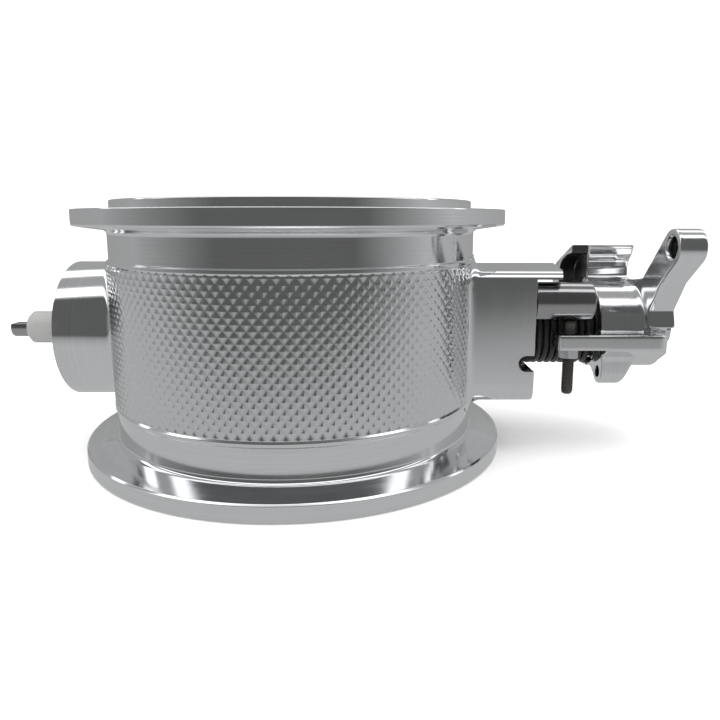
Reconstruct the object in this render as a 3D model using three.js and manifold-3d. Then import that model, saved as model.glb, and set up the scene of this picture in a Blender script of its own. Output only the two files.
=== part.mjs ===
// Inline billet throttle body, millimetres, +Z up.
// The bore axis is the Z axis and the lower joint face is Z = 0. The throttle shaft runs along X,
// the linkage is on +X, the sensor drive is on -X, and the idle stop faces -Y.
import * as THREE from 'three';
import { mergeVertices } from 'three/addons/utils/BufferGeometryUtils.js';
import Module from 'manifold-3d';

const wasm = await Module();
wasm.setup();

// ---- driving dimensions ------------------------------------------------------------------
const GAP = 0.3; // clearance kept between neighbouring pieces
const TURN = 2 * Math.PI;
const BARREL_SEGMENTS = 72;

// barrel
const BORE_R = 59;
const NECK_R = 63.5;
const BAND_R = 64.3;
const BAND_Z = [17.2, 67.2];
const FLANGE_R = 74;
const RIM_T = 4.7; // cylindrical height of each rim
const RIM_CHAMFER = 0.6;
const FLANGE_ROOT_T = 6.6; // flange thickness where it meets the neck fillet
const NECK_FILLET = 1.5;
const BODY_L = 83.5; // joint face to joint face
const LIP_T = 3; // pilot lip above the upper joint face
const LIP_R = 62.4;
const LIP_MOUTH = 1.5; // widening of the bore at the top of the lip
const BAND_EDGE = 0.8; // height of the slope at both edges of the raised band
const AXIS_Z = 41; // height of the throttle shaft

// sensor boss on -X
const LEFT_BOSS_R = 24.2;
const LEFT_FACE_X = -79.5;
const SENSOR_REGISTER_R = 15;
const SENSOR_REGISTER_D = 2;
const SENSOR_HOLE_R = 1.65;
const SENSOR_HOLE_PITCH_R = 19.2;
const SENSOR_HOLE_D = 9;
const LEFT_FILLET = 3.4;

// linkage boss on +X
const RIGHT_FACE_X = 82.5;
const BLOCK_HALF_Y = 23;
const BLOCK_HALF_Z = 22.5;
const BLOCK_CORNER_R = 4.8;
const BLOCK_FILLET = 4.6;
const LEDGE_FRONT_X = 90.5;
const LEDGE_REAR_X = 98.9;
const LEDGE_UNDER_Z = AXIS_Z + 19.6;
const NOTCH = { x: 77, z0: 29.4, z1: 34.9, yBack: -9 };

// shaft and its bearings
const SHAFT_R = 6;
const SHAFT_BORE_R = 6.6;
const BEARING = { innerR: SHAFT_R + GAP, raceInR: 7.8, raceOutR: 10.3, outerR: 11.7, w: 6 };
const BEARING_POCKET_R = BEARING.outerR + GAP;
const BALL_R = 1.55;
const BALL_COUNT = 7;
const RIGHT_BEARING_X = 75;
const LEFT_BEARING_X = -75.6;
const SEAL_W = 3;
const CLIP_W = 1.1;
const CLIP_R = [9.4, 12.7];

// sensor drive
const TIP_R = 3.5;
const SLEEVE_R = 5.88;
const SLEEVE_X = [-98, -80.6];
const TIP_X = -104.6;
const TIP_FLAT = 1.5; // height of the flat above the shaft axis

// lever end of the shaft
const LEVER_FLAT = 4.8; // from the shaft axis to each of the two flats
const THREAD_R = 4.6;
const SHAFT_X = { left: -80, flats: 117, thread: 130.4, end: 136.6 };

// blade, closed a few degrees off square
const BLADE_T = 2.4;
const BLADE_TILT = THREE.MathUtils.degToRad(7);
const BLADE_GAP = 0.35;
const BLADE_SCREW_X = [-33, -11, 11, 33];
const BLADE_SCREW_R = 2;
const SCREW_HEAD = { r: 3.8, seat: 3.7, rim: 4.5, shoulderR: 2.9, shoulder: 5.5, top: 5.9, pocketR: 4.3 };
const SCREW_SOCKET = { r: 1.15, floor: 4.3 };

// idle stop post and its screw
const POST = { y: -16.3, z: AXIS_Z + 11.7, r: 6.6, x1: 102.6, spigotR: 4, spigotL: 12 };
const IDLE_SCREW = { x: 95.3, y: -18, r: 2.08, l: 25.4, chamfer: 0.7, socketR: 0.95, socketD: 3 };
const JAM_NUT = { acrossFlats: 6.35, t: 3.2, turn: 10 };

// lever
const HUB_X = [106.6, 130.5];
const HUB_R = 14.2;
const CROWN_R = 17.1; // upper part of the hub
const CROWN_X1 = 123.4;
const ARM_X = [121.8, 130.5];
const ARM_ROOT_R = 20.2;
const ARM_ROOT_Z = 2.8; // lower end of the arm's front
const ARM_TIP = { y: -31, z: 30.5, r: 6, holeR: 3.1 };
const WING_R = 30.4;
const WING_FLAT_DEG = [92, 132]; // the top of the wing is planed flat between these
const WING_REAR_DEG = 149;
const CLAW_X0 = 100.6;
const CLAW_INNER_R = 14; // clears the return spring
const CLAW_CLEARANCE = 0.4; // round the stop post
const FULL_OPEN_DEG = 80;
const TANG = { x0: 89.8, x1: 127.4, yFront: -24.5, yBack: -14.2, z0: -4.1, z1: 1.1, cornerR: 3.8 };
const TANG_ROOT = { y: -13.5, z: -10.7 }; // lower edge of the sloping face under the tang
const EAR = { y: -14.7, z: -13.2, r: 4.3, holeR: 1.9, x1: 118.3, x1Low: 113 };
const WASHER = { r: 9, t: 1.2 };
const LEVER_NUT = { acrossFlats: 13, t: 3.4 };

// return spring, wound round a plastic guide
const GUIDE_R = [SHAFT_R + GAP, 10.6];
const SPRING = { meanR: 12.2, wireR: 1.05, turns: 8, x0: 84.7, x1: 104.4, startDeg: -74 };
const SPRING_LEG = { y: -13, z: 32, hookX: 79.8, hookDrop: 1.8, seatL: 4 };

// ---- solids ------------------------------------------------------------------------------
const asManifold = (geometry) => {
  geometry.deleteAttribute('normal');
  geometry.deleteAttribute('uv');
  const merged = mergeVertices(geometry, 1e-4);
  return new wasm.Manifold(new wasm.Mesh({
    numProp: 3,
    vertProperties: new Float32Array(merged.attributes.position.array),
    triVerts: new Uint32Array(merged.index.array),
  }));
};

const asGeometry = (solid) => {
  const mesh = solid.getMesh();
  const geometry = new THREE.BufferGeometry();
  geometry.setAttribute('position', new THREE.BufferAttribute(new Float32Array(mesh.vertProperties), 3));
  geometry.setIndex(new THREE.BufferAttribute(new Uint32Array(mesh.triVerts), 1));
  const flat = geometry.toNonIndexed();
  flat.computeVertexNormals();
  return flat;
};

// Closed outline of [radius, height] pairs turned about an axis. Any winding is accepted.
const turned = (outline, axis, segments) => {
  const area = outline.reduce((sum, [r, h], i) => {
    const [r2, h2] = outline[(i + 1) % outline.length];
    return sum + r * h2 - r2 * h;
  }, 0);
  const loop = area > 0 ? [...outline] : [...outline].reverse();
  const points = [...loop, loop[0]].map(([r, h]) => new THREE.Vector2(r, h));
  const geometry = new THREE.LatheGeometry(points, segments);
  if (axis === 'x') geometry.rotateZ(-Math.PI / 2);
  if (axis === 'z') geometry.rotateX(Math.PI / 2);
  return asManifold(geometry);
};

// Outline of (y, z) points extruded from x0 to x1.
const alongX = (points, x0, x1) => {
  const shape = new THREE.Shape(points.map(([y, z]) => new THREE.Vector2(y, z)));
  const geometry = new THREE.ExtrudeGeometry(shape, { depth: x1 - x0, bevelEnabled: false });
  const toX = new THREE.Matrix4().makeBasis(
    new THREE.Vector3(0, 1, 0),
    new THREE.Vector3(0, 0, 1),
    new THREE.Vector3(1, 0, 0),
  );
  geometry.applyMatrix4(toX.setPosition(x0, 0, 0));
  return asManifold(geometry);
};

// Outline of (x, y) points extruded from z0 to z1.
const alongZ = (points, z0, z1) => {
  const shape = new THREE.Shape(points.map(([x, y]) => new THREE.Vector2(x, y)));
  const geometry = new THREE.ExtrudeGeometry(shape, { depth: z1 - z0, bevelEnabled: false });
  geometry.translate(0, 0, z0);
  return asManifold(geometry);
};

const box = (x0, x1, y0, y1, z0, z1) => alongZ([[x0, y0], [x1, y0], [x1, y1], [x0, y1]], z0, z1);

// Cylinder along X centred on (y, z), with an optional chamfer at both ends.
const rodX = (r, x0, x1, y, z, segments = 32, chamfer = 0) => {
  const outline = chamfer
    ? [[0, x0], [r - chamfer, x0], [r, x0 + chamfer], [r, x1 - chamfer], [r - chamfer, x1], [0, x1]]
    : [[0, x0], [r, x0], [r, x1], [0, x1]];
  return turned(outline, 'x', segments).translate([0, y, z]);
};

const rodZ = (r, z0, z1, x, y, segments = 24, chamfer = 0) => {
  const outline = chamfer
    ? [[0, z0], [r - chamfer, z0], [r, z0 + chamfer], [r, z1 - chamfer], [r - chamfer, z1], [0, z1]]
    : [[0, z0], [r, z0], [r, z1], [0, z1]];
  return turned(outline, 'z', segments).translate([x, y, 0]);
};

// Ring along X round the shaft axis.
const ringX = (rIn, rOut, x0, x1, segments = 40) => {
  const outline = [[rIn, x0], [rOut, x0], [rOut, x1], [rIn, x1]];
  return turned(outline, 'x', segments).translate([0, 0, AXIS_Z]);
};

// Points of an arc, in degrees, as [u, v] pairs.
const arc = (u, v, r, from, to, steps) => {
  const points = [];
  for (let i = 0; i <= steps; i += 1) {
    const a = THREE.MathUtils.degToRad(from + (to - from) * i / steps);
    points.push([u + r * Math.cos(a), v + r * Math.sin(a)]);
  }
  return points;
};

const roundedRect = (u0, u1, v0, v1, r, steps) => [
  ...arc(u1 - r, v0 + r, r, -90, 0, steps),
  ...arc(u1 - r, v1 - r, r, 0, 90, steps),
  ...arc(u0 + r, v1 - r, r, 90, 180, steps),
  ...arc(u0 + r, v0 + r, r, 180, 270, steps),
];

// Closed solid through rings of equal length, each ring a convex loop of [x, y, z] points.
const lofted = (rings) => {
  const size = rings[0].length;
  const points = rings.flat();
  const last = points.length - size;
  const faces = [];
  for (let k = 0; k < last; k += size) {
    for (let i = 0; i < size; i += 1) {
      const [a, b] = [k + i, k + (i + 1) % size];
      faces.push([a, b, b + size], [a, b + size, a + size]);
    }
  }
  for (let i = 1; i + 1 < size; i += 1) {
    faces.push([0, i + 1, i], [last, last + i, last + i + 1]);
  }
  const volume = faces.reduce((sum, face) => {
    const [a, b, c] = face.map((i) => new THREE.Vector3(...points[i]));
    return sum + a.dot(b.cross(c));
  }, 0);
  const triangles = volume > 0 ? faces : faces.map(([a, b, c]) => [a, c, b]);
  return new wasm.Manifold(new wasm.Mesh({
    numProp: 3,
    vertProperties: new Float32Array(points.flat()),
    triVerts: new Uint32Array(triangles.flat()),
  }));
};

// Round wire swept along a list of points.
const wire = (points, radius, sides) => {
  const path = new THREE.CatmullRomCurve3(points, false, 'centripetal');
  const outline = new THREE.Shape();
  for (let i = 0; i < sides; i += 1) {
    const a = TURN * i / sides;
    const [u, v] = [radius * Math.cos(a), radius * Math.sin(a)];
    if (i === 0) outline.moveTo(u, v);
    else outline.lineTo(u, v);
  }
  outline.closePath();
  const steps = points.length - 1;
  return asManifold(new THREE.ExtrudeGeometry(outline, { steps, extrudePath: path, bevelEnabled: false }));
};

// Point at an angle round the shaft axis: 0 degrees is the front (-Y), 90 degrees is up.
const polar = (deg, r) => {
  const a = THREE.MathUtils.degToRad(deg);
  return [-r * Math.cos(a), AXIS_Z + r * Math.sin(a)];
};

// ---- assembly ----------------------------------------------------------------------------
const group = new THREE.Group();
group.name = 'throttle_body';

const ALUMINIUM = { color: 0xc9ccce, roughness: 0.28, metalness: 1 };
const STEEL = { color: 0x8f9497, roughness: 0.32, metalness: 1 };
const BRIGHT_STEEL = { color: 0xb6b9bb, roughness: 0.22, metalness: 1 };
const BLACK_STEEL = { color: 0x1e1e1f, roughness: 0.5, metalness: 0.8 };
const BRASS = { color: 0xb08d4a, roughness: 0.35, metalness: 1 };
const BLADE_METAL = { color: 0xbfc3c6, roughness: 0.35, metalness: 1 };
const WHITE_PLASTIC = { color: 0xefede4, roughness: 0.5, metalness: 0 };
const BLACK_PLASTIC = { color: 0x202225, roughness: 0.6, metalness: 0 };
const RUBBER = { color: 0x161616, roughness: 0.85, metalness: 0 };

const add = (name, solid, material) => {
  const mesh = new THREE.Mesh(asGeometry(solid), new THREE.MeshStandardMaterial(material));
  mesh.name = name;
  group.add(mesh);
};

// ---- housing -----------------------------------------------------------------------------
const flangeOutline = (face, dir) => [
  [FLANGE_R - RIM_CHAMFER / 2, face],
  [FLANGE_R, face + dir * RIM_CHAMFER / 2],
  [FLANGE_R, face + dir * RIM_T],
  [FLANGE_R - RIM_CHAMFER, face + dir * (RIM_T + RIM_CHAMFER)],
  [NECK_R + NECK_FILLET, face + dir * FLANGE_ROOT_T],
  [NECK_R + NECK_FILLET * 0.3, face + dir * (FLANGE_ROOT_T + NECK_FILLET * 0.35)],
  [NECK_R, face + dir * (FLANGE_ROOT_T + NECK_FILLET)],
];

const barrel = turned([
  [BORE_R + 0.5, 0],
  ...flangeOutline(0, 1),
  [NECK_R, BAND_Z[0]],
  [BAND_R, BAND_Z[0] + BAND_EDGE],
  [BAND_R, BAND_Z[1] - BAND_EDGE],
  [NECK_R, BAND_Z[1]],
  ...flangeOutline(BODY_L, -1).reverse(),
  [LIP_R, BODY_L],
  [LIP_R, BODY_L + LIP_T - RIM_CHAMFER],
  [LIP_R - RIM_CHAMFER, BODY_L + LIP_T],
  [BORE_R + LIP_MOUTH, BODY_L + LIP_T],
  [BORE_R, BODY_L],
  [BORE_R, 0.5],
], 'z', BARREL_SEGMENTS);

// A boss along X whose foot runs into the barrel through a fillet.
// Outline points are [y, z, ny, nz], the last two being the outward normal.
const FILLET_STEPS = 4;
const filletedBoss = (outline, side, fillet, faceX, edge) => {
  const wallR = BAND_R - 0.15; // just under the barrel's facets
  const columns = outline.map(([y, z, ny, nz]) => {
    let reach = fillet;
    let slope = 0;
    for (let i = 0; i < 12; i += 1) {
      const v = y + reach * ny;
      slope = -v * ny / Math.sqrt(wallR ** 2 - v ** 2);
      reach = fillet * (1 + slope / Math.hypot(1, slope));
    }
    const touch = Math.sqrt(wallR ** 2 - (y + reach * ny) ** 2);
    const centre = touch + fillet / Math.hypot(1, slope);
    const start = Math.atan2(-1, slope);
    const line = [[reach + 0.3, 40], [reach + 0.1, touch - 1.2]];
    for (let i = 0; i <= FILLET_STEPS; i += 1) {
      const a = THREE.MathUtils.lerp(start, -Math.PI, i / FILLET_STEPS);
      line.push([fillet + fillet * Math.cos(a), centre + fillet * Math.sin(a)]);
    }
    line.push([0, faceX - edge], [-edge, faceX]);
    return line.map(([out, x]) => [side * x, y + out * ny, z + out * nz]);
  });
  return lofted(columns[0].map((_, k) => columns.map((column) => column[k])));
};

const discOutline = [];
for (let i = 0; i < 56; i += 1) {
  const [ny, nz] = [Math.cos(TURN * i / 56), Math.sin(TURN * i / 56)];
  discOutline.push([LEFT_BOSS_R * ny, AXIS_Z + LEFT_BOSS_R * nz, ny, nz]);
}
const leftBoss = filletedBoss(discOutline, -1, LEFT_FILLET, -LEFT_FACE_X, 0.8);

// Rounded block outline: four corner arcs, with each straight side divided so that it follows the barrel.
const SIDE_STEPS = 8;
const blockPoints = [];
for (let quarter = 0; quarter < 4; quarter += 1) {
  const [sy, sz] = [[1, 1], [-1, 1], [-1, -1], [1, -1]][quarter];
  const centre = [sy * (BLOCK_HALF_Y - BLOCK_CORNER_R), AXIS_Z + sz * (BLOCK_HALF_Z - BLOCK_CORNER_R)];
  arc(0, 0, 1, 90 * quarter, 90 * quarter + 90, 5).forEach(([ny, nz]) => {
    blockPoints.push([centre[0] + BLOCK_CORNER_R * ny, centre[1] + BLOCK_CORNER_R * nz, ny, nz]);
  });
  const [y, z, ny, nz] = blockPoints[blockPoints.length - 1];
  const run = 2 * ((quarter % 2 ? BLOCK_HALF_Z : BLOCK_HALF_Y) - BLOCK_CORNER_R);
  for (let i = 1; i < SIDE_STEPS; i += 1) {
    const step = run * i / SIDE_STEPS;
    blockPoints.push([y - step * Math.round(nz), z + step * Math.round(ny), ny, nz]);
  }
}
const rightBoss = filletedBoss(blockPoints, 1, BLOCK_FILLET, RIGHT_FACE_X, 0.3);
const blockOutline = roundedRect(
  -BLOCK_HALF_Y, BLOCK_HALF_Y, AXIS_Z - BLOCK_HALF_Z, AXIS_Z + BLOCK_HALF_Z, BLOCK_CORNER_R, 5,
);
const ledge = alongX(blockOutline, RIGHT_FACE_X - 2, LEDGE_REAR_X).intersect(alongZ([
  [RIGHT_FACE_X - 2, -BLOCK_HALF_Y - 1],
  [LEDGE_FRONT_X, -BLOCK_HALF_Y - 1],
  [LEDGE_REAR_X, BLOCK_HALF_Y - 5],
  [RIGHT_FACE_X - 2, BLOCK_HALF_Y - 5],
], LEDGE_UNDER_Z, AXIS_Z + 40));

const boreCutter = rodZ(BORE_R, -1, BODY_L + LIP_T + 1, 0, 0, BARREL_SEGMENTS);
const shaftBore = rodX(SHAFT_BORE_R, LEFT_FACE_X - 1, RIGHT_FACE_X + 1, 0, AXIS_Z, 40);

// Each bearing pocket opens outwards: seal, bearing, then a groove for the retaining ring.
const bearingPocket = (bearingX, outward) => {
  const inner = outward > 0 ? bearingX : bearingX + BEARING.w;
  const seal = inner - outward * (SEAL_W + 3 * GAP);
  const outer = inner + outward * (BEARING.w + GAP);
  const clip = outer + outward * (CLIP_W + GAP);
  const face = outward > 0 ? RIGHT_FACE_X + 1 : LEFT_FACE_X - 1;
  const outline = [
    [0, seal], [BEARING_POCKET_R, seal], [BEARING_POCKET_R, outer],
    [CLIP_R[1] + GAP, outer], [CLIP_R[1] + GAP, clip], [BEARING_POCKET_R, clip],
    [BEARING_POCKET_R, face], [0, face],
  ];
  return turned(outline, 'x', 40).translate([0, 0, AXIS_Z]);
};

const registerFloorX = LEFT_FACE_X + SENSOR_REGISTER_D;
const sensorRegister = rodX(SENSOR_REGISTER_R, LEFT_FACE_X - 1, registerFloorX, 0, AXIS_Z, 40);
const sensorHoles = [-1, 1].map((side) => rodX(
  SENSOR_HOLE_R, LEFT_FACE_X - 1, LEFT_FACE_X + SENSOR_HOLE_D, side * SENSOR_HOLE_PITCH_R, AXIS_Z, 16,
));

// The notch for the spring's fixed leg: open to the front and to the end face, round at its inner end.
const notchR = (NOTCH.z1 - NOTCH.z0) / 2;
const notchOutline = [
  ...arc(NOTCH.x + notchR, NOTCH.z0 + notchR, notchR, 90, 270, 6),
  [RIGHT_FACE_X + 1, NOTCH.z0],
  [RIGHT_FACE_X + 1, NOTCH.z1],
];
const notch = (() => {
  const shape = new THREE.Shape(notchOutline.map(([x, z]) => new THREE.Vector2(x, z)));
  const depth = NOTCH.yBack + BLOCK_HALF_Y + 1;
  const geometry = new THREE.ExtrudeGeometry(shape, { depth, bevelEnabled: false });
  geometry.rotateX(Math.PI / 2);
  geometry.translate(0, NOTCH.yBack, 0);
  return asManifold(geometry);
})();

const postHole = rodX(
  POST.spigotR + GAP, RIGHT_FACE_X - POST.spigotL - 1, RIGHT_FACE_X + 1, POST.y, POST.z, 24,
);

let housing = barrel.add(leftBoss).add(rightBoss).add(ledge);
housing = housing.subtract(boreCutter).subtract(shaftBore);
housing = housing.subtract(bearingPocket(RIGHT_BEARING_X, 1)).subtract(bearingPocket(LEFT_BEARING_X, -1));
housing = housing.subtract(sensorRegister).subtract(notch).subtract(postHole);
sensorHoles.forEach((hole) => {
  housing = housing.subtract(hole);
});
add('throttle_housing', housing, ALUMINIUM);

// ---- idle stop post ----------------------------------------------------------------------
const post = rodX(POST.r, RIGHT_FACE_X + GAP, POST.x1, POST.y, POST.z, 36, 0.7);
const spigot = rodX(POST.spigotR, RIGHT_FACE_X - POST.spigotL, RIGHT_FACE_X + 2, POST.y, POST.z, 24);
add('idle_stop_post', post.add(spigot), STEEL);

// ---- bearings, seals and retaining rings -------------------------------------------------
const ballPitchR = (BEARING.raceInR + BEARING.raceOutR) / 2;
const grooveR = BALL_R + GAP;

const raceRing = (rIn, rOut, grooveSide, x0) => {
  const mid = x0 + BEARING.w / 2;
  const ring = ringX(rIn, rOut, x0, x0 + BEARING.w, 28);
  const steps = 4;
  const groove = arc(ballPitchR, mid, grooveR, 0, 360 - 360 / (2 * steps), 2 * steps - 1);
  return grooveSide ? ring.subtract(turned(groove, 'x', 28).translate([0, 0, AXIS_Z])) : ring;
};

const ballSet = (x0) => {
  const mid = x0 + BEARING.w / 2;
  const cageHalf = (BEARING.raceOutR - BEARING.raceInR) / 2 - GAP;
  let set = ringX(ballPitchR - cageHalf * 0.6, ballPitchR + cageHalf * 0.6, mid - 2.1, mid + 2.1, 21);
  for (let i = 0; i < BALL_COUNT; i += 1) {
    const a = TURN * i / BALL_COUNT;
    const ball = asManifold(new THREE.IcosahedronGeometry(BALL_R, 1));
    set = set.add(ball.translate([mid, ballPitchR * Math.cos(a), AXIS_Z + ballPitchR * Math.sin(a)]));
  }
  return set;
};

const sides = [
  { tag: 'left', x0: LEFT_BEARING_X, outward: -1 },
  { tag: 'right', x0: RIGHT_BEARING_X, outward: 1 },
];
sides.forEach(({ tag, x0, outward }) => {
  add(`${tag}_bearing_outer_ring`, raceRing(BEARING.raceOutR, BEARING.outerR, true, x0), BRIGHT_STEEL);
  add(`${tag}_bearing_inner_ring`, raceRing(BEARING.innerR, BEARING.raceInR, true, x0), BRIGHT_STEEL);
  add(`${tag}_bearing_ball_set`, ballSet(x0), BRASS);

  const sealX = outward > 0 ? x0 - SEAL_W - GAP : x0 + BEARING.w + GAP;
  add(`${tag}_shaft_seal`, ringX(SHAFT_R + GAP, BEARING.outerR, sealX, sealX + SEAL_W, 36), RUBBER);

  const clipX = outward > 0 ? x0 + BEARING.w + GAP : x0 - GAP - CLIP_W;
  const ring = ringX(CLIP_R[0], CLIP_R[1], clipX, clipX + CLIP_W, 40);
  const mouth = box(clipX - 1, clipX + CLIP_W + 1, -3.2, 3.2, AXIS_Z + 4, AXIS_Z + 20);
  add(`${tag}_retaining_ring`, ring.subtract(mouth), BLACK_STEEL);
});

// ---- shaft, blade and blade screws -------------------------------------------------------
const shaftOutline = [
  [0, TIP_X],
  [TIP_R - 0.5, TIP_X],
  [TIP_R, TIP_X + 0.5],
  [TIP_R, SHAFT_X.left],
  [SHAFT_R, SHAFT_X.left],
  [SHAFT_R, SHAFT_X.thread],
  [THREAD_R, SHAFT_X.thread],
  [THREAD_R, SHAFT_X.end - 0.6],
  [THREAD_R - 0.6, SHAFT_X.end],
  [0, SHAFT_X.end],
];
const tipFlat = box(
  TIP_X - 1, SLEEVE_X[0] + 0.4, -TIP_R - 1, TIP_R + 1, AXIS_Z + TIP_FLAT, AXIS_Z + TIP_R + 1,
);
const flatCut = (z0, z1) => box(SHAFT_X.flats, SHAFT_X.end + 1, -SHAFT_R - 1, SHAFT_R + 1, z0, z1);
const leverFlats = [
  flatCut(AXIS_Z + LEVER_FLAT, AXIS_Z + SHAFT_R + 1),
  flatCut(AXIS_Z - SHAFT_R - 1, AXIS_Z - LEVER_FLAT),
];

const tilted = (solid) => solid
  .translate([0, 0, -AXIS_Z])
  .rotate([THREE.MathUtils.radToDeg(BLADE_TILT), 0, 0])
  .translate([0, 0, AXIS_Z]);

const slotHalf = BLADE_T / 2 + GAP;
const bladeSlot = tilted(box(-BORE_R - 0.5, BORE_R + 0.5, -10, 10, AXIS_Z - slotHalf, AXIS_Z + slotHalf));
const screwHoles = BLADE_SCREW_X.map((x) => {
  const drilled = rodZ(BLADE_SCREW_R + GAP, AXIS_Z - 8, AXIS_Z + SCREW_HEAD.seat, x, 0, 16);
  const pocket = rodZ(SCREW_HEAD.pocketR, AXIS_Z + SCREW_HEAD.seat - GAP, AXIS_Z + 8, x, 0, 20);
  return tilted(drilled.add(pocket));
});

let shaft = turned(shaftOutline, 'x', 40).translate([0, 0, AXIS_Z]).subtract(tipFlat).subtract(bladeSlot);
[...leverFlats, ...screwHoles].forEach((cut) => {
  shaft = shaft.subtract(cut);
});
add('throttle_shaft', shaft, STEEL);

const blank = tilted(box(-70, 70, -70, 70, AXIS_Z - BLADE_T / 2, AXIS_Z + BLADE_T / 2));
let blade = blank.intersect(rodZ(BORE_R - BLADE_GAP, 0, BODY_L, 0, 0, BARREL_SEGMENTS));
BLADE_SCREW_X.forEach((x) => {
  blade = blade.subtract(tilted(rodZ(BLADE_SCREW_R + GAP, AXIS_Z - 8, AXIS_Z + 8, x, 0, 16)));
});
add('throttle_blade', blade, BLADE_METAL);

BLADE_SCREW_X.forEach((x, i) => {
  const shank = rodZ(BLADE_SCREW_R, AXIS_Z - 5.2, AXIS_Z + 4, x, 0, 16);
  const head = turned([
    [0, SCREW_HEAD.seat],
    [SCREW_HEAD.r, SCREW_HEAD.seat],
    [SCREW_HEAD.r, SCREW_HEAD.rim],
    [SCREW_HEAD.shoulderR, SCREW_HEAD.shoulder],
    [0, SCREW_HEAD.top],
  ], 'z', 20).translate([x, 0, AXIS_Z]);
  const socket = rodZ(SCREW_SOCKET.r, AXIS_Z + SCREW_SOCKET.floor, AXIS_Z + SCREW_HEAD.top + 1, x, 0, 6);
  add(`blade_screw_${i + 1}`, tilted(shank.add(head).subtract(socket)), BLACK_STEEL);
});

// ---- sensor drive sleeve -----------------------------------------------------------------
const sleeve = turned([
  [TIP_R + GAP, SLEEVE_X[0]],
  [SLEEVE_R - 1.2, SLEEVE_X[0]],
  [SLEEVE_R, SLEEVE_X[0] + 1.2],
  [SLEEVE_R, SLEEVE_X[1]],
  [TIP_R + GAP, SLEEVE_X[1]],
], 'x', 36).translate([0, 0, AXIS_Z]);
add('sensor_drive_sleeve', sleeve, WHITE_PLASTIC);

// ---- lever -------------------------------------------------------------------------------
const hub = rodX(HUB_R, HUB_X[0], HUB_X[1], 0, AXIS_Z, 48, 0.5);
const crown = rodX(CROWN_R, HUB_X[0], CROWN_X1 + 0.5, 0, AXIS_Z, 56, 0)
  .intersect(box(HUB_X[0] - 1, CROWN_X1 + 1, -30, 30, AXIS_Z + TANG.z0 + 0.5, AXIS_Z + 30));

// The wing stands on the crown. Its front is hollowed, its top is a slanting flat, its back an arc.
const wingOutline = [
  polar(100, CROWN_R - 2),
  [5.4, AXIS_Z + 18.8],
  [5.9, AXIS_Z + 21.5],
  [4.9, AXIS_Z + 24],
  [2.5, AXIS_Z + 26.6],
  [1.5, AXIS_Z + 28.8],
  polar(WING_FLAT_DEG[0], WING_R),
  ...arc(0, AXIS_Z, WING_R, 180 - WING_FLAT_DEG[1], 180 - WING_REAR_DEG, 4),
  polar(WING_REAR_DEG, CROWN_R - 2),
];
const wing = alongX(wingOutline, HUB_X[0], CROWN_X1);

// The claw runs over the stop post as the lever opens and bears on it at full open.
const postRun = Math.hypot(POST.y, POST.z - AXIS_Z);
const postDeg = THREE.MathUtils.radToDeg(Math.atan2(POST.z - AXIS_Z, -POST.y));
const seatDeg = postDeg + FULL_OPEN_DEG;
const clawSeatR = POST.r + CLAW_CLEARANCE;
const clawOutline = [
  polar(92, postRun + clawSeatR),
  polar(WING_FLAT_DEG[0], WING_R),
  ...arc(0, AXIS_Z, WING_R, 180 - WING_FLAT_DEG[1], 180 - WING_REAR_DEG, 4),
  ...arc(0, AXIS_Z, CLAW_INNER_R, 180 - WING_REAR_DEG, 88, 8),
];
const seat = rodX(clawSeatR, CLAW_X0 - 1, HUB_X[0], ...polar(seatDeg, postRun), 32);
const sweep = alongX([
  ...arc(0, AXIS_Z, postRun + clawSeatR, 180 - 60, 180 - seatDeg, 12),
  ...arc(0, AXIS_Z, postRun - clawSeatR, 180 - seatDeg, 180 - 60, 12),
], CLAW_X0 - 1, HUB_X[0]);
const claw = alongX(clawOutline, CLAW_X0, HUB_X[0] + 0.5).subtract(seat).subtract(sweep);

// The tang reaches in front of the spring and carries the idle screw. Its outer corner is well rounded.
const tangBar = alongX(roundedRect(
  TANG.yFront, TANG.yBack, AXIS_Z + TANG.z0, AXIS_Z + TANG.z1, 0.6, 2,
), TANG.x0, TANG.x1);
const tangRoot = alongX([
  [TANG.yFront + 0.6, AXIS_Z + TANG.z0],
  [TANG.yFront + 0.6, AXIS_Z + TANG.z1],
  [0, AXIS_Z + TANG.z1],
  [0, AXIS_Z + TANG_ROOT.z],
  [TANG_ROOT.y, AXIS_Z + TANG_ROOT.z],
], HUB_X[0], TANG.x1);
const tangPlan = alongZ([
  ...arc(TANG.x1 - TANG.cornerR, TANG.yFront + TANG.cornerR, TANG.cornerR, -90, 0, 6),
  [TANG.x1, 10],
  [TANG.x0, 10],
  [TANG.x0, TANG.yFront + 0.8],
  [TANG.x0 + 0.8, TANG.yFront],
], AXIS_Z - 20, AXIS_Z + 20);
const tang = tangBar.add(tangRoot).intersect(tangPlan);

const armOutline = [
  ...arc(ARM_TIP.y, AXIS_Z + ARM_TIP.z, ARM_TIP.r, 42, 222, 10),
  [-25.4, AXIS_Z + 18.6],
  ...arc(0, AXIS_Z, ARM_ROOT_R, 155, 172, 4),
  [0, AXIS_Z + ARM_ROOT_Z],
  polar(100, ARM_ROOT_R - 3),
  [-11, AXIS_Z + 19.2],
];
const arm = alongX(armOutline, ARM_X[0], ARM_X[1]);

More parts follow.
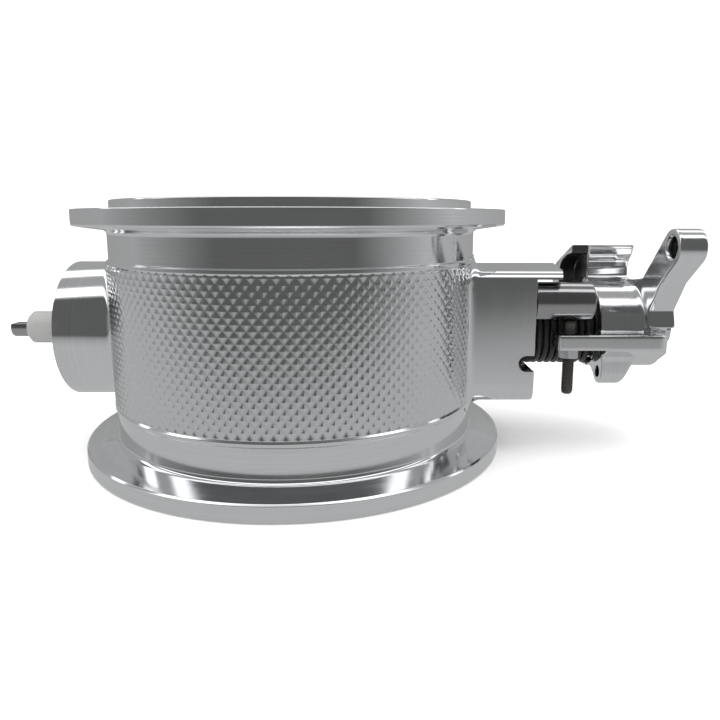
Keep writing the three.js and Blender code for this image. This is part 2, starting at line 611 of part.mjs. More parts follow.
// The ear hangs under the tang. Its front is upright and its outer end slants inwards.
const earDepth = 24; // reach of the slanting cut towards the rear
const earBlank = alongX([
  ...arc(EAR.y, AXIS_Z + EAR.z, EAR.r, 180, 330, 10),
  [-2, AXIS_Z - 10],
  [-12, AXIS_Z - 4],
  [EAR.y - EAR.r, AXIS_Z - 6],
], HUB_X[0], EAR.x1);
const slantShape = new THREE.Shape([
  new THREE.Vector2(EAR.x1, AXIS_Z + TANG_ROOT.z + 3),
  new THREE.Vector2(EAR.x1Low, AXIS_Z + EAR.z - EAR.r - 1),
  new THREE.Vector2(EAR.x1 + 4, AXIS_Z + EAR.z - EAR.r - 1),
  new THREE.Vector2(EAR.x1 + 4, AXIS_Z + TANG_ROOT.z + 3),
]);
const slantGeometry = new THREE.ExtrudeGeometry(slantShape, { depth: earDepth, bevelEnabled: false });
slantGeometry.rotateX(Math.PI / 2);
const ear = earBlank.subtract(asManifold(slantGeometry));

const shaftHole = rodX(SHAFT_R + GAP, HUB_X[0] - 1, SHAFT_X.flats + GAP, 0, AXIS_Z, 40);
const flatHole = rodX(SHAFT_R + GAP, SHAFT_X.flats, HUB_X[1] + 1, 0, AXIS_Z, 40)
  .intersect(box(
    SHAFT_X.flats - 1, HUB_X[1] + 2, -10, 10, AXIS_Z - LEVER_FLAT - GAP, AXIS_Z + LEVER_FLAT + GAP,
  ));
const armHole = rodX(ARM_TIP.holeR, ARM_X[0] - 1, ARM_X[1] + 1, ARM_TIP.y, AXIS_Z + ARM_TIP.z, 24);
const earHole = rodX(EAR.holeR, HUB_X[0] - 1, EAR.x1 + 1, EAR.y, AXIS_Z + EAR.z, 20);
const idleScrewHole = rodZ(IDLE_SCREW.r + GAP, AXIS_Z - 12, AXIS_Z + 8, IDLE_SCREW.x, IDLE_SCREW.y, 20);
const springEndDeg = SPRING.startDeg - 360 * SPRING.turns;
const legSeat = polar(springEndDeg, SPRING.meanR);
const legPocket = rodX(
  SPRING.wireR + GAP, HUB_X[0] - 1, HUB_X[0] + SPRING_LEG.seatL + GAP, ...legSeat, 16,
);

let lever = hub.add(crown).add(wing).add(claw).add(tang).add(arm).add(ear);
[shaftHole, flatHole, armHole, earHole, idleScrewHole, legPocket].forEach((cut) => {
  lever = lever.subtract(cut);
});
add('throttle_lever', lever, ALUMINIUM);

// ---- lever fastening ---------------------------------------------------------------------
const washerX = HUB_X[1] + GAP;
const washer = ringX(THREAD_R + GAP + 0.1, WASHER.r, washerX, washerX + WASHER.t, 36);
add('lever_washer', washer, BRIGHT_STEEL);
const hexagon = (acrossFlats, u, v, turn) => arc(u, v, acrossFlats / Math.sqrt(3), turn, turn + 300, 5);
const leverNutX = washerX + WASHER.t + GAP;
const leverNut = alongX(hexagon(LEVER_NUT.acrossFlats, 0, AXIS_Z, 0), leverNutX, leverNutX + LEVER_NUT.t)
  .subtract(rodX(THREAD_R + GAP, leverNutX - 1, leverNutX + LEVER_NUT.t + 1, 0, AXIS_Z, 28));
add('lever_nut', leverNut, BRIGHT_STEEL);

// ---- idle screw and its jam nut ----------------------------------------------------------
const contactDrop = Math.sqrt(POST.r ** 2 - (IDLE_SCREW.y - POST.y) ** 2);
const screwTop = POST.z - contactDrop - GAP;
const screwLow = screwTop - IDLE_SCREW.l;
const screwBody = rodZ(IDLE_SCREW.r, screwLow, screwTop, IDLE_SCREW.x, IDLE_SCREW.y, 24, IDLE_SCREW.chamfer);
const screwSocket = rodZ(
  IDLE_SCREW.socketR, screwLow - 1, screwLow + IDLE_SCREW.socketD, IDLE_SCREW.x, IDLE_SCREW.y, 6,
);
const idleScrew = screwBody.subtract(screwSocket);
add('idle_stop_screw', idleScrew, BLACK_STEEL);

const nutTop = AXIS_Z + TANG.z0 - GAP;
const jamNutOutline = hexagon(JAM_NUT.acrossFlats, IDLE_SCREW.x, IDLE_SCREW.y, JAM_NUT.turn);
const jamNut = alongZ(jamNutOutline, nutTop - JAM_NUT.t, nutTop)
  .subtract(rodZ(IDLE_SCREW.r + GAP, nutTop - JAM_NUT.t - 1, nutTop + 1, IDLE_SCREW.x, IDLE_SCREW.y, 20));
add('idle_jam_nut', jamNut, BRIGHT_STEEL);

// ---- return spring -----------------------------------------------------------------------
const guide = ringX(GUIDE_R[0], GUIDE_R[1], RIGHT_FACE_X + GAP, HUB_X[0] - GAP, 36);
add('spring_guide', guide, BLACK_PLASTIC);

// The fixed leg hooks down inside the housing notch and runs out to a tangent of the first coil.
const fixedLeg = [
  [SPRING_LEG.hookX, SPRING_LEG.y, SPRING_LEG.z - SPRING_LEG.hookDrop],
  [SPRING_LEG.hookX, SPRING_LEG.y, SPRING_LEG.z - 0.9],
  [SPRING_LEG.hookX + 0.6, SPRING_LEG.y, SPRING_LEG.z - 0.15],
  [SPRING_LEG.hookX + 1.6, SPRING_LEG.y, SPRING_LEG.z],
  [SPRING.x0 - 1.3, SPRING_LEG.y, SPRING_LEG.z],
  [SPRING.x0 - 0.3, SPRING_LEG.y + 0.6, SPRING_LEG.z - 0.2],
  [SPRING.x0, SPRING_LEG.y + 2, SPRING_LEG.z - 0.6],
];

const coilSteps = SPRING.turns * 14;
const coil = [];
for (let i = 0; i <= coilSteps; i += 1) {
  const t = i / coilSteps;
  const x = THREE.MathUtils.lerp(SPRING.x0, SPRING.x1, t);
  coil.push([x, ...polar(SPRING.startDeg - 360 * SPRING.turns * t, SPRING.meanR)]);
}

// The moving leg turns straight into its hole in the lever.
const [seatY, seatZ] = legSeat;
const [bendY, bendZ] = polar(springEndDeg - 6, SPRING.meanR);
const movingLeg = [
  [SPRING.x1 + 0.8, bendY, bendZ],
  [HUB_X[0] - 0.6, seatY, seatZ],
  [HUB_X[0] + SPRING_LEG.seatL, seatY, seatZ],
];

const springPoints = [...fixedLeg, ...coil.slice(0, -1), ...movingLeg];
const springPath = springPoints.map((point) => new THREE.Vector3(...point));
add('return_spring', wire(springPath, SPRING.wireR, 7), BLACK_STEEL);

export default group;
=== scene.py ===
"""Looks of an inline billet throttle body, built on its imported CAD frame.

The throttle shaft lies along X with the lever at +X, the bore axis is Z, and the idle stop faces -Y.
Outlines are written in millimetres and scaled to metres where each mesh is made.
"""

from itertools import product
from math import acos, atan2, cos, degrees, hypot, pi, radians, sin, sqrt, tan, tau
from types import SimpleNamespace as Named

import bmesh
import bpy
import numpy as np
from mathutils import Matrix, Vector
from numpy.linalg import norm


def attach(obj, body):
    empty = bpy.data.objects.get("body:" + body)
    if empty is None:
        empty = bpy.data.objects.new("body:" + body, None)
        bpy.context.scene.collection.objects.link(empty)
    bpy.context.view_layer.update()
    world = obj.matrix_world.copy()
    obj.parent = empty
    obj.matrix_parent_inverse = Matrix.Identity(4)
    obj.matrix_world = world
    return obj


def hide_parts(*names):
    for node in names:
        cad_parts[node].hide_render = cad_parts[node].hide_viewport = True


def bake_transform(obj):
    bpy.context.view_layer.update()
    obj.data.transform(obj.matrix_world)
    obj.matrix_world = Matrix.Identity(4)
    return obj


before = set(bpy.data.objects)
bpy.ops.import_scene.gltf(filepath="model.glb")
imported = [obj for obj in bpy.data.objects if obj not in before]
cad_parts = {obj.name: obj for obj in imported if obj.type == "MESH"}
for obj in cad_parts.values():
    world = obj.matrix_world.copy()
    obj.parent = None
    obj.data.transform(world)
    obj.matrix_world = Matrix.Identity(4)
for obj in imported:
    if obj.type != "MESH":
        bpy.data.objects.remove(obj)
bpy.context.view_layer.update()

MM = 0.001
SHAFT_Z = 41.0  # height of the throttle shaft


# ---- mesh helpers ----
def outward(verts, faces):
    """The same closed mesh with its faces turned outwards."""
    verts = np.asarray(verts, float)
    volume = 0.0
    for first, *others in faces:
        for b, c in zip(others, others[1:]):
            volume += np.dot(verts[first], np.cross(verts[b], verts[c]))
    if volume < 0:
        faces = [face[::-1] for face in faces]
    return verts, faces


def loft(rings):
    """Quads between rings of equal length, with flat caps on the first and last ring."""
    rings = np.asarray(rings, float)
    count, size = rings.shape[:2]
    faces = []
    for low in range(0, (count - 1) * size, size):
        for i in range(size):
            j = (i + 1) % size
            faces.append([low + i, low + j, low + size + j, low + size + i])
    faces.append(list(range(size))[::-1])
    faces.append(list(range((count - 1) * size, count * size)))
    return outward(rings.reshape(-1, 3), faces)


def eased(points, steps=4, hold=0.0):
    """Closed outline with its corners rounded. A point is (u, v) or (u, v, radius).

    With hold, a point that distance beyond each rounding keeps the shading of the straight run flat.
    """
    result, count = [], len(points)
    for i, point in enumerate(points):
        p = np.array(point[:2], float)
        radius = point[2] if len(point) > 2 else 0
        a = np.array(points[i - 1][:2], float) - p
        b = np.array(points[(i + 1) % count][:2], float) - p
        length_a, length_b = norm(a), norm(b)
        a, b = a / length_a, b / length_b
        half = acos(max(-1, min(1, float(a @ b)))) / 2
        if not radius or half > pi / 2 - 0.01:
            result.append(tuple(p))
            continue
        middle = (a + b) / norm(a + b)
        centre = p + middle * radius / sin(half)
        reach = radius / tan(half)
        start, end = p + a * reach - centre, p + b * reach - centre
        t0, t1 = atan2(start[1], start[0]), atan2(end[1], end[0])
        sweep = (t1 - t0 + pi) % tau - pi
        if hold and length_a > 2 * (reach + hold):
            result.append(tuple(p + a * (reach + hold)))
        for k in range(steps + 1):
            t = t0 + sweep * k / steps
            result.append((centre[0] + radius * cos(t), centre[1] + radius * sin(t)))
        if hold and length_b > 2 * (reach + hold):
            result.append(tuple(p + b * (reach + hold)))
    return result


def turned(profile, segments, axis="z", at=(0, 0, 0)):
    """Closed outline of (radius, height) turned about an axis. Points on the axis become poles."""
    verts, starts, faces = [], [], []
    for r, h in profile:
        starts.append(len(verts))
        ring = [0] if r < 1e-6 else range(segments)
        for i in ring:
            t = tau * i / segments
            u, v = r * cos(t), r * sin(t)
            verts.append((u, v, h) if axis == "z" else (h, u, v))
    for k, (r, _) in enumerate(profile):
        n = (k + 1) % len(profile)
        pole0, pole1 = r < 1e-6, profile[n][0] < 1e-6
        if pole0 and pole1:
            continue
        for i in range(segments):
            j = (i + 1) % segments
            a, b = (starts[k], starts[k]) if pole0 else (starts[k] + i, starts[k] + j)
            c, d = (starts[n], starts[n]) if pole1 else (starts[n] + j, starts[n] + i)
            face = [a, b, c] if pole1 else [a, c, d] if pole0 else [a, b, c, d]
            faces.append(face)
    return outward(np.array(verts) + np.array(at, float), faces)


def turned_x(profile, segments, y=0.0, z=SHAFT_Z):
    return turned(profile, segments, "x", (0, y, z))


def tube(r_in, r_out, x0, x1, ease=0.2, segments=64):
    outline = [(r_in, x0, ease), (r_out, x0, ease), (r_out, x1, ease), (r_in, x1, ease)]
    return turned_x(eased(outline, 2), segments)


def inset(outline, amount):
    """Outline moved inwards by amount, corner by corner. Points run anticlockwise."""
    pts = np.array(outline, float)
    runs = pts - np.roll(pts, 1, 0), np.roll(pts, -1, 0) - pts
    n0, n1 = [np.stack([-run[:, 1], run[:, 0]], 1) / norm(run, axis=1)[:, None] for run in runs]
    both = n0 + n1
    both /= np.maximum((both * n0).sum(1), 0.4)[:, None]
    return pts + both * amount


def prism(outline, lo, hi, axis="x", edge=0.0):
    """Outline extruded along an axis, with both ends eased by edge. Along x the outline is (y, z)."""
    pts = np.array(outline, float)
    area = (pts[:, 0] * np.roll(pts[:, 1], -1) - np.roll(pts[:, 0], -1) * pts[:, 1]).sum()
    pts = pts if area > 0 else pts[::-1]
    levels = [(lo, 0), (hi, 0)]
    if edge:
        curve = [pi / 2 * k / 3 for k in range(4)]
        levels = [(lo + edge * (1 - sin(t)), edge * (1 - cos(t))) for t in curve[::-1]]
        levels += [(hi - edge * (1 - sin(t)), edge * (1 - cos(t))) for t in curve]
    rings = []
    for height, amount in levels:
        flat = inset(pts, amount)
        rings.append(np.insert(flat, "xyz".index(axis), height, 1))
    return loft(rings)


def box(x0, x1, y0, y1, z0, z1):
    return prism([(y0, z0), (y1, z0), (y1, z1), (y0, z1)], x0, x1)


def arc(u, v, r, start, end, steps):
    """Points of an arc, in degrees."""
    angles = [radians(start + (end - start) * k / steps) for k in range(steps + 1)]
    return [(u + r * cos(t), v + r * sin(t)) for t in angles]


def hexagon(across_flats, u, v):
    return arc(u, v, across_flats / sqrt(3), 0, 300, 5)


def threaded(root, crest, pitch, h0, h1, around=32, per_pitch=6):
    """Rings of a helical thread from h0 to h1, run out at both ends."""
    count = max(4, int((h1 - h0) / pitch * per_pitch))
    rings = []
    for k in range(count + 1):
        h = h0 + (h1 - h0) * k / count
        fade = min(1.0, (h - h0) / pitch, (h1 - h) / pitch)
        ring = []
        for i in range(around):
            phase = (h / pitch - i / around) % 1
            height = max(0.0, min(1.0, 1.35 - abs(phase - 0.5) * 3.4))
            ring.append((root + (crest - root) * height * max(fade, 0), tau * i / around, h))
        rings.append(ring)
    return rings


def rod_from(rings, axis, at=(0, 0, 0)):
    """Solid rod from rings of (radius, angle, height)."""
    points = np.array([[(r * cos(t), r * sin(t), h) for r, t, h in ring] for ring in rings])
    return loft((points if axis == "z" else np.roll(points, 1, 2)) + at)


def plain_ring(r, h, around):
    return [(r, tau * i / around, h) for i in range(around)]


def swept(points, radius, sides=14):
    """Round wire along a line of points, with domed ends."""
    pts = np.array(points, float)
    tangents = np.gradient(pts, axis=0)
    tangents /= norm(tangents, axis=1)[:, None]
    side = np.cross(tangents[0], (0.3, 0.5, 0.8))
    side /= norm(side)
    rings = []

    def ring(centre, r, side, tangent):
        other = np.cross(tangent, side)
        return [centre + r * (cos(tau * i / sides) * side + sin(tau * i / sides) * other)
                for i in range(sides)]

    for k, (p, tangent) in enumerate(zip(pts, tangents)):
        side = side - tangent * (side @ tangent)
        side /= norm(side)
        if k == 0:
            rings.append(ring(p - tangent * radius * 0.3, radius * 0.6, side, tangent))
        rings.append(ring(p, radius, side, tangent))
        if k == len(pts) - 1:
            rings.append(ring(p + tangent * radius * 0.3, radius * 0.6, side, tangent))
    return loft(rings)


# ---- objects ----
def placed(name, data):
    made = bpy.data.objects.new(name, data)
    bpy.context.scene.collection.objects.link(made)
    return made


def raw_object(name, mesh_data):
    verts, faces = mesh_data
    mesh = bpy.data.meshes.new(name)
    mesh.from_pydata((np.asarray(verts) * MM).tolist(), [], faces)
    mesh.update()
    return placed(name, mesh)


def combined(base, others, operation):
    """base united with, cut by or limited to each of the other meshes, in order."""
    target = raw_object("target", base)
    helpers = []
    for data in others:
        helper = raw_object("helper", data)
        helpers.append(helper)
        step = target.modifiers.new("step", "BOOLEAN")
        step.operation = operation
        step.solver = "MANIFOLD"
        step.object = helper
    bpy.context.view_layer.update()
    result = target.evaluated_get(bpy.context.evaluated_depsgraph_get()).to_mesh()
    verts = np.array([v.co for v in result.vertices]) / MM
    faces = [list(p.vertices) for p in result.polygons]
    for helper in helpers + [target]:
        data = helper.data
        bpy.data.objects.remove(helper)
        bpy.data.meshes.remove(data)
    return verts, faces


def piece(name, mesh_data, materials, body, nodes, sharp=30, pick=None):
    """A finished piece. pick(centre, normal) gives the material index of a face, in millimetres."""
    made = raw_object(name, mesh_data)
    mesh = made.data
    clean = bmesh.new()
    clean.from_mesh(mesh)
    bmesh.ops.remove_doubles(clean, verts=clean.verts, dist=1e-7)
    bmesh.ops.dissolve_degenerate(clean, edges=clean.edges, dist=1e-7)
    clean.to_mesh(mesh)
    clean.free()
    for material in materials if isinstance(materials, list) else [materials]:
        mesh.materials.append(material)
    if pick:
        for polygon in mesh.polygons:
            polygon.material_index = pick(np.array(polygon.center) / MM, polygon.normal)
    mesh.shade_smooth()
    mesh.set_sharp_from_angle(angle=radians(sharp))
    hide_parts(*nodes)
    if body:
        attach(made, body)
    return made


# ---- materials ----
def shader(name):
    material = bpy.data.materials.new(name)
    material.use_nodes = True
    tree = material.node_tree
    return material, tree, tree.nodes["Principled BSDF"]


def node(tree, kind, **settings):
    made = tree.nodes.new(kind)
    for key, value in settings.items():
        if key.startswith("_"):
            made.inputs[key[1:].replace("_", " ")].default_value = value
        else:
            setattr(made, key, value)
    return made


def grain_noise(tree, scale, stretch=(1, 1, 1), detail=3.0):
    """Noise stretched along the direction in which a tool has run. stretch is per metre in x, y and z."""
    where = node(tree, "ShaderNodeTexCoord")
    mapping = node(tree, "ShaderNodeMapping")
    mapping.inputs["Scale"].default_value = stretch
    noise = node(tree, "ShaderNodeTexNoise", _Scale=scale, _Detail=detail, _Roughness=0.6)
    tree.links.new(where.outputs["Object"], mapping.inputs["Vector"])
    tree.links.new(mapping.outputs["Vector"], noise.inputs["Vector"])
    return noise.outputs["Fac"]


def ramp(tree, source, low, high, a, b):
    made = node(tree, "ShaderNodeMapRange")
    for socket, value in zip(("From Min", "From Max", "To Min", "To Max"), (low, high, a, b)):
        made.inputs[socket].default_value = value
    tree.links.new(source, made.inputs["Value"])
    return made.outputs["Result"]


def maths(tree, operation, *values):
    """A math node. Each value is a number or the output of another node."""
    made = node(tree, "ShaderNodeMath", operation=operation)
    for socket, value in zip(made.inputs, values):
        if isinstance(value, (int, float)):
            socket.default_value = value
        else:
            tree.links.new(value, socket)
    return made.outputs[0]


def dress(tree, principled, colour, tone, shade, roughness, height, bump, distance):
    """Join a colour that varies by tone, a roughness and a fine relief to the shader."""
    link = tree.links.new
    mix = node(tree, "ShaderNodeMix", data_type="RGBA")
    mix.inputs["A"].default_value = (*[c * (1 - tone) for c in colour], 1)
    mix.inputs["B"].default_value = (*[min(1, c * (1 + tone)) for c in colour], 1)
    link(shade, mix.inputs["Factor"])
    link(mix.outputs["Result"], principled.inputs["Base Color"])
    link(roughness, principled.inputs["Roughness"])
    relief = node(tree, "ShaderNodeBump", _Strength=bump, _Distance=distance)
    link(height, relief.inputs["Height"])
    link(relief.outputs["Normal"], principled.inputs["Normal"])


def metal(name, colour, roughness, stretch, spread=0.08, tone=0.06, bump=0.12, anisotropy=0.0, axis="Z"):
    """Machined metal: fine tool lines, slow cloudy variation in tone and gloss, and small pits."""
    material, tree, principled = shader(name)
    fine = grain_noise(tree, 1.0, stretch, 4.0)
    broad, pits = grain_noise(tree, 45.0), grain_noise(tree, 900.0, detail=2.0)
    principled.inputs["Metallic"].default_value = 1.0
    principled.inputs["Anisotropic"].default_value = anisotropy
    if anisotropy:
        principled.inputs["Anisotropic Rotation"].default_value = 0.25
        tangent = node(tree, "ShaderNodeTangent", direction_type="RADIAL", axis=axis)
        tree.links.new(tangent.outputs["Tangent"], principled.inputs["Tangent"])
    shade = maths(tree, "ADD", ramp(tree, fine, 0.3, 0.7, 0.0, 0.6), ramp(tree, broad, 0.3, 0.7, 0.0, 0.4))
    gloss = ramp(tree, fine, 0.3, 0.7, roughness - spread / 2, roughness + spread / 2)
    gloss = maths(tree, "ADD", gloss, ramp(tree, broad, 0.35, 0.7, 0.0, spread))
    height = maths(tree, "MULTIPLY_ADD", pits, 0.15, fine)
    dress(tree, principled, colour, tone, shade, gloss, height, bump, 0.00002)
    return material


def dull(name, colour, roughness, tone=0.1, bump=0.1, scale=500.0, specular=0.5, metallic=0.0):
    """Plastic, rubber or oxide-blacked steel: mottled tone, and a fine moulded or etched surface."""
    material, tree, principled = shader(name)
    broad, fine = grain_noise(tree, 60.0, detail=4.0), grain_noise(tree, scale)
    principled.inputs["Metallic"].default_value = metallic
    principled.inputs["Specular IOR Level"].default_value = specular
    gloss = ramp(tree, fine, 0.3, 0.7, roughness - 0.06, roughness + 0.06)
    dress(tree, principled, colour, tone, ramp(tree, broad, 0.3, 0.7, 0, 1), gloss, fine, bump, 0.00003)
    return material


BRIGHT = (0.80, 0.81, 0.82)
ALONG_Z = (25, 25, 3200)  # rings round the bore axis
ALONG_X = (3200, 25, 25)  # rings round the shaft axis
barrel_turned = metal("barrel_turned", BRIGHT, 0.08, ALONG_Z, spread=0.05, bump=0.2, anisotropy=0.6)
barrel_knurled = metal("barrel_knurled", (0.74, 0.75, 0.76), 0.1, (900, 900, 900), bump=0.12)
bore_turned = metal("bore_turned", (0.74, 0.75, 0.76), 0.2, ALONG_Z, bump=0.3, anisotropy=0.5)
boss_turned = metal("boss_turned", BRIGHT, 0.07, ALONG_X, spread=0.05, bump=0.12, anisotropy=0.6, axis="X")
face_milled = metal("face_milled", BRIGHT, 0.12, (300, 60, 60), spread=0.03, tone=0.03, bump=0.04)
lever_milled = metal("lever_milled", BRIGHT, 0.11, ALONG_X, spread=0.06, bump=0.08)
# near-black colour painted inside the tapped eyes: painted shade in the holes
eye_bore_painted_shade = metal("eye_bore_painted_shade", (0.1, 0.1, 0.105), 0.35, (900, 900, 900), bump=0.2)
# dark colour painted on the claw's seat: painted shade where the seat lies in shadow
claw_seat_painted_shade = metal("claw_seat_painted_shade", (0.16, 0.16, 0.165), 0.4, (900, 60, 60), bump=0.2)
blade_skin = metal("blade_skin", (0.68, 0.69, 0.7), 0.24, (120, 2200, 120), bump=0.3)
ground_steel = metal("ground_steel", (0.4, 0.4, 0.41), 0.14, ALONG_X, spread=0.05, bump=0.06, anisotropy=0.4,
                     axis="X")
tip_steel = metal("tip_steel", (0.46, 0.46, 0.47), 0.18, ALONG_X, bump=0.1, anisotropy=0.3, axis="X")
race_steel = metal("race_steel", (0.66, 0.66, 0.67), 0.1, ALONG_X, bump=0.06)
zinc_steel = metal("zinc_steel", (0.72, 0.73, 0.75), 0.22, (700, 700, 700), tone=0.08, bump=0.15)
cage_brass = metal("cage_brass", (0.62, 0.46, 0.2), 0.3, (700, 700, 700), bump=0.15)
black_steel = dull("black_steel", (0.085, 0.08, 0.075), 0.42, tone=0.25, bump=0.2, scale=900, metallic=0.55)
spring_black = dull("spring_black", (0.03, 0.03, 0.03), 0.36, tone=0.2, bump=0.12, scale=1200, metallic=0.4)
acetal = dull("acetal", (0.3, 0.3, 0.296), 0.42, tone=0.03, bump=0.08, scale=1500)
guide_plastic = dull("guide_plastic", (0.02, 0.02, 0.022), 0.5, tone=0.3, bump=0.25, scale=1500)
seal_rubber = dull("seal_rubber", (0.02, 0.02, 0.021), 0.7, tone=0.3, bump=0.3, scale=2200, specular=0.3)

# ---- housing ----
BORE_R, NECK_R, BAND_R, FLANGE_R = 59.0, 63.5, 64.3, 74.0
BODY_L, LIP_T, LIP_R = 83.5, 3.0, 62.4
KNURL_FLOOR_R, KNURL_TOP_R = 63.84, BAND_R - 0.04
KNURL_Z = (19.2, 65.3)
KNURL_CELLS = 118  # pyramids in one row round the barrel
KNURL_ROWS = 25
KNURL_END = 0.6  # from the first and last row of points to the edge of the knurl
KNURL_FOOT, KNURL_FLAT = 0.82, 0.09  # size of each pyramid at its foot and at its top
COLUMNS = 2 * KNURL_CELLS


def flange(face, direction):
    """Outline of one V flange, from the rim to the neck fillet."""
    at = [(FLANGE_R, 0, 0.35), (FLANGE_R, 4.75, 0.12), (73.45, 5.3, 0.12), (NECK_R, 6.75, 1.5)]
    return [(r, face + direction * h, ease) for r, h, ease in at]


outer_low = eased([
    (BORE_R + 0.5, 0), *flange(0, 1), (NECK_R, 17.2, 0.25), (BAND_R - 0.1, 17.45, 0.25), (BAND_R, 18.6, 0.15),
    (KNURL_FLOOR_R, KNURL_Z[0]), (BORE_R, KNURL_Z[0]), (BORE_R, 0.5),
], hold=0.15)
outer_high = eased([
    (BORE_R, KNURL_Z[1]), (KNURL_FLOOR_R, KNURL_Z[1]), (BAND_R, 65.9, 0.15), (BAND_R - 0.1, 66.95, 0.25),
    (NECK_R, 67.2, 0.25), *flange(BODY_L, -1)[::-1], (LIP_R, BODY_L, 0.15), (LIP_R, BODY_L + LIP_T, 0.5),
    (BORE_R + 1.5, BODY_L + LIP_T, 0.3), (BORE_R, BODY_L, 0.6),
], hold=0.15)


def barrel():
    """One closed mesh: turned outline below and above, and the knurl cut between them."""
    low = outer_low[:outer_low.index((KNURL_FLOOR_R, KNURL_Z[0])) + 1]
    high = outer_high[outer_high.index((KNURL_FLOOR_R, KNURL_Z[1])):]
    rows = [KNURL_Z[0] + KNURL_END + (KNURL_Z[1] - KNURL_Z[0] - 2 * KNURL_END) * k / KNURL_ROWS
            for k in range(KNURL_ROWS + 1)]
    rows = [KNURL_Z[0], *rows, KNURL_Z[1]]
    verts, faces = [], []

    def cylinder_point(i, z, r):
        t = tau * i / COLUMNS
        verts.append((r * cos(t), r * sin(t), z))
        return len(verts) - 1

    last = len(rows) - 1
    grid = {}

    def floor_node(i, j):
        key = (i % COLUMNS, j)
        if key not in grid:
            grid[key] = cylinder_point(key[0], rows[j], KNURL_FLOOR_R)
        return grid[key]

    for j in range(last + 1):
        for i in range(COLUMNS):
            if (i + j) % 2:
                continue
            around = [(i + 1, j), (i, j + 1), (i - 1, j), (i, j - 1)]
            if j in (0, last):
                centre = floor_node(i, j)
                side = (i, 1) if j == 0 else (i, last - 1)
                for edge in ((i - 1, j), (i + 1, j)):
                    faces.append([centre, floor_node(*edge), floor_node(*side)])
                continue
            base, top, corners = [], [], []
            for ni, nj in around:
                corners.append(floor_node(ni, nj))
                for ring, share, r in ((base, KNURL_FOOT, KNURL_FLOOR_R), (top, KNURL_FLAT, KNURL_TOP_R)):
                    z = rows[j] + (rows[nj] - rows[j]) * share
                    ring.append(cylinder_point(i + (ni - i) * share, z, r))
            faces.append(top)
            for k in range(4):
                n = (k + 1) % 4
                faces.append([top[k], base[k], base[n], top[n]])
                faces.append([base[k], corners[k], corners[n], base[n]])
    # turned surfaces: from the lower knurl edge down and round the bore to the upper knurl edge
    rings = []
    for r, z in low[::-1] + high[::-1]:
        if r == KNURL_FLOOR_R and z in KNURL_Z:
            rings.append([floor_node(i, last * KNURL_Z.index(z)) for i in range(COLUMNS)])
        else:
            rings.append([cylinder_point(i, z, r) for i in range(COLUMNS)])
    for a, b in zip(rings, rings[1:]):
        for i in range(COLUMNS):
            j = (i + 1) % COLUMNS
            faces.append([a[i], a[j], b[j], b[i]])
    return outward_by_face(verts, faces)


def outward_by_face(verts, faces):
    """Faces of one closed mesh turned to agree with each other and to point outwards."""
    made = bmesh.new()
    points = [made.verts.new(v) for v in verts]
    for face in faces:
        made.faces.new([points[i] for i in face])
    bmesh.ops.recalc_face_normals(made, faces=made.faces)
    made.verts.index_update()
    result = np.array([v.co for v in points]), [[v.index for v in f.verts] for f in made.faces]
    made.free()
    return result


BOSS_ROOT_X = 48.0  # inside the bore, where the boss is cut off later


def boss(outline, normals, side, fillet, face_x, edge):
    """A boss standing on the barrel along X, blended to it all round by a fillet."""
    count = len(outline)
    wall = KNURL_FLOOR_R + 0.02

    def barrel_x(y):
        return sqrt(wall * wall - y * y)

    columns = []
    for (y, z), (ny, nz) in zip(outline, normals):
        s = fillet
        for _ in range(12):
            slope = -(y + s * ny) * ny / barrel_x(y + s * ny)
            s = fillet * (1 + slope / sqrt(1 + slope * slope))
        x_touch = barrel_x(y + s * ny)
        slope = -(y + s * ny) * ny / x_touch
        length = sqrt(1 + slope * slope)
        centre = (fillet, x_touch + fillet / length)
        t0 = atan2(-1 / length, slope / length)
        t1 = -pi
        line = [(s + 0.3, BOSS_ROOT_X), (s + 0.12, x_touch - 1.2)]
        for k in range(9):
            t = t0 + (t1 - t0) * k / 8
            line.append((centre[0] + fillet * cos(t), centre[1] + fillet * sin(t)))
        for k in range(4):
            t = pi / 2 * k / 3
            line.append((-edge * (1 - cos(t)), face_x - edge * (1 - sin(t))))
        columns.append([(side * x, y + d * ny, z + d * nz) for d, x in line])
    rings = [[columns[i][k] for i in range(count)] for k in range(len(columns[0]))]
    return loft(rings)


LEFT_BOSS_R, LEFT_FACE_X = 24.2, 79.5
RIGHT_FACE_X = 82.5
BLOCK_HALF_Y, BLOCK_HALF_Z, BLOCK_CORNER_R = 23.0, 22.5, 4.8
LEDGE_FRONT_X, LEDGE_REAR_X = 90.5, 98.9

round_normals = [(cos(tau * k / 112), sin(tau * k / 112)) for k in range(112)]
round_outline = [(LEFT_BOSS_R * y, SHAFT_Z + LEFT_BOSS_R * z) for y, z in round_normals]

block_outline, block_normals = [], []
flat_y, flat_z = BLOCK_HALF_Y - BLOCK_CORNER_R, BLOCK_HALF_Z - BLOCK_CORNER_R
corner_centres = [(flat_y, flat_z), (-flat_y, flat_z), (-flat_y, -flat_z), (flat_y, -flat_z)]
for quarter, (cy, cz) in enumerate(corner_centres):
    for k in range(13):
        t = radians(90 * quarter + 90 * k / 12)
        block_normals.append((cos(t), sin(t)))
        block_outline.append((cy + BLOCK_CORNER_R * cos(t), SHAFT_Z + cz + BLOCK_CORNER_R * sin(t)))
    ny, nz = block_normals[-1]
    run = flat_y if quarter % 2 == 0 else flat_z
    for k in range(1, 16):
        y, z = block_outline[-1]
        step = 2 * run / 16
        block_outline.append((y - step * round(nz), z + step * round(ny)))
        block_normals.append((ny, nz))

left_boss = boss(round_outline, round_normals, -1, 3.4, LEFT_FACE_X, 0.5)
right_boss = boss(block_outline, block_normals, 1, 4.6, RIGHT_FACE_X, 0.4)

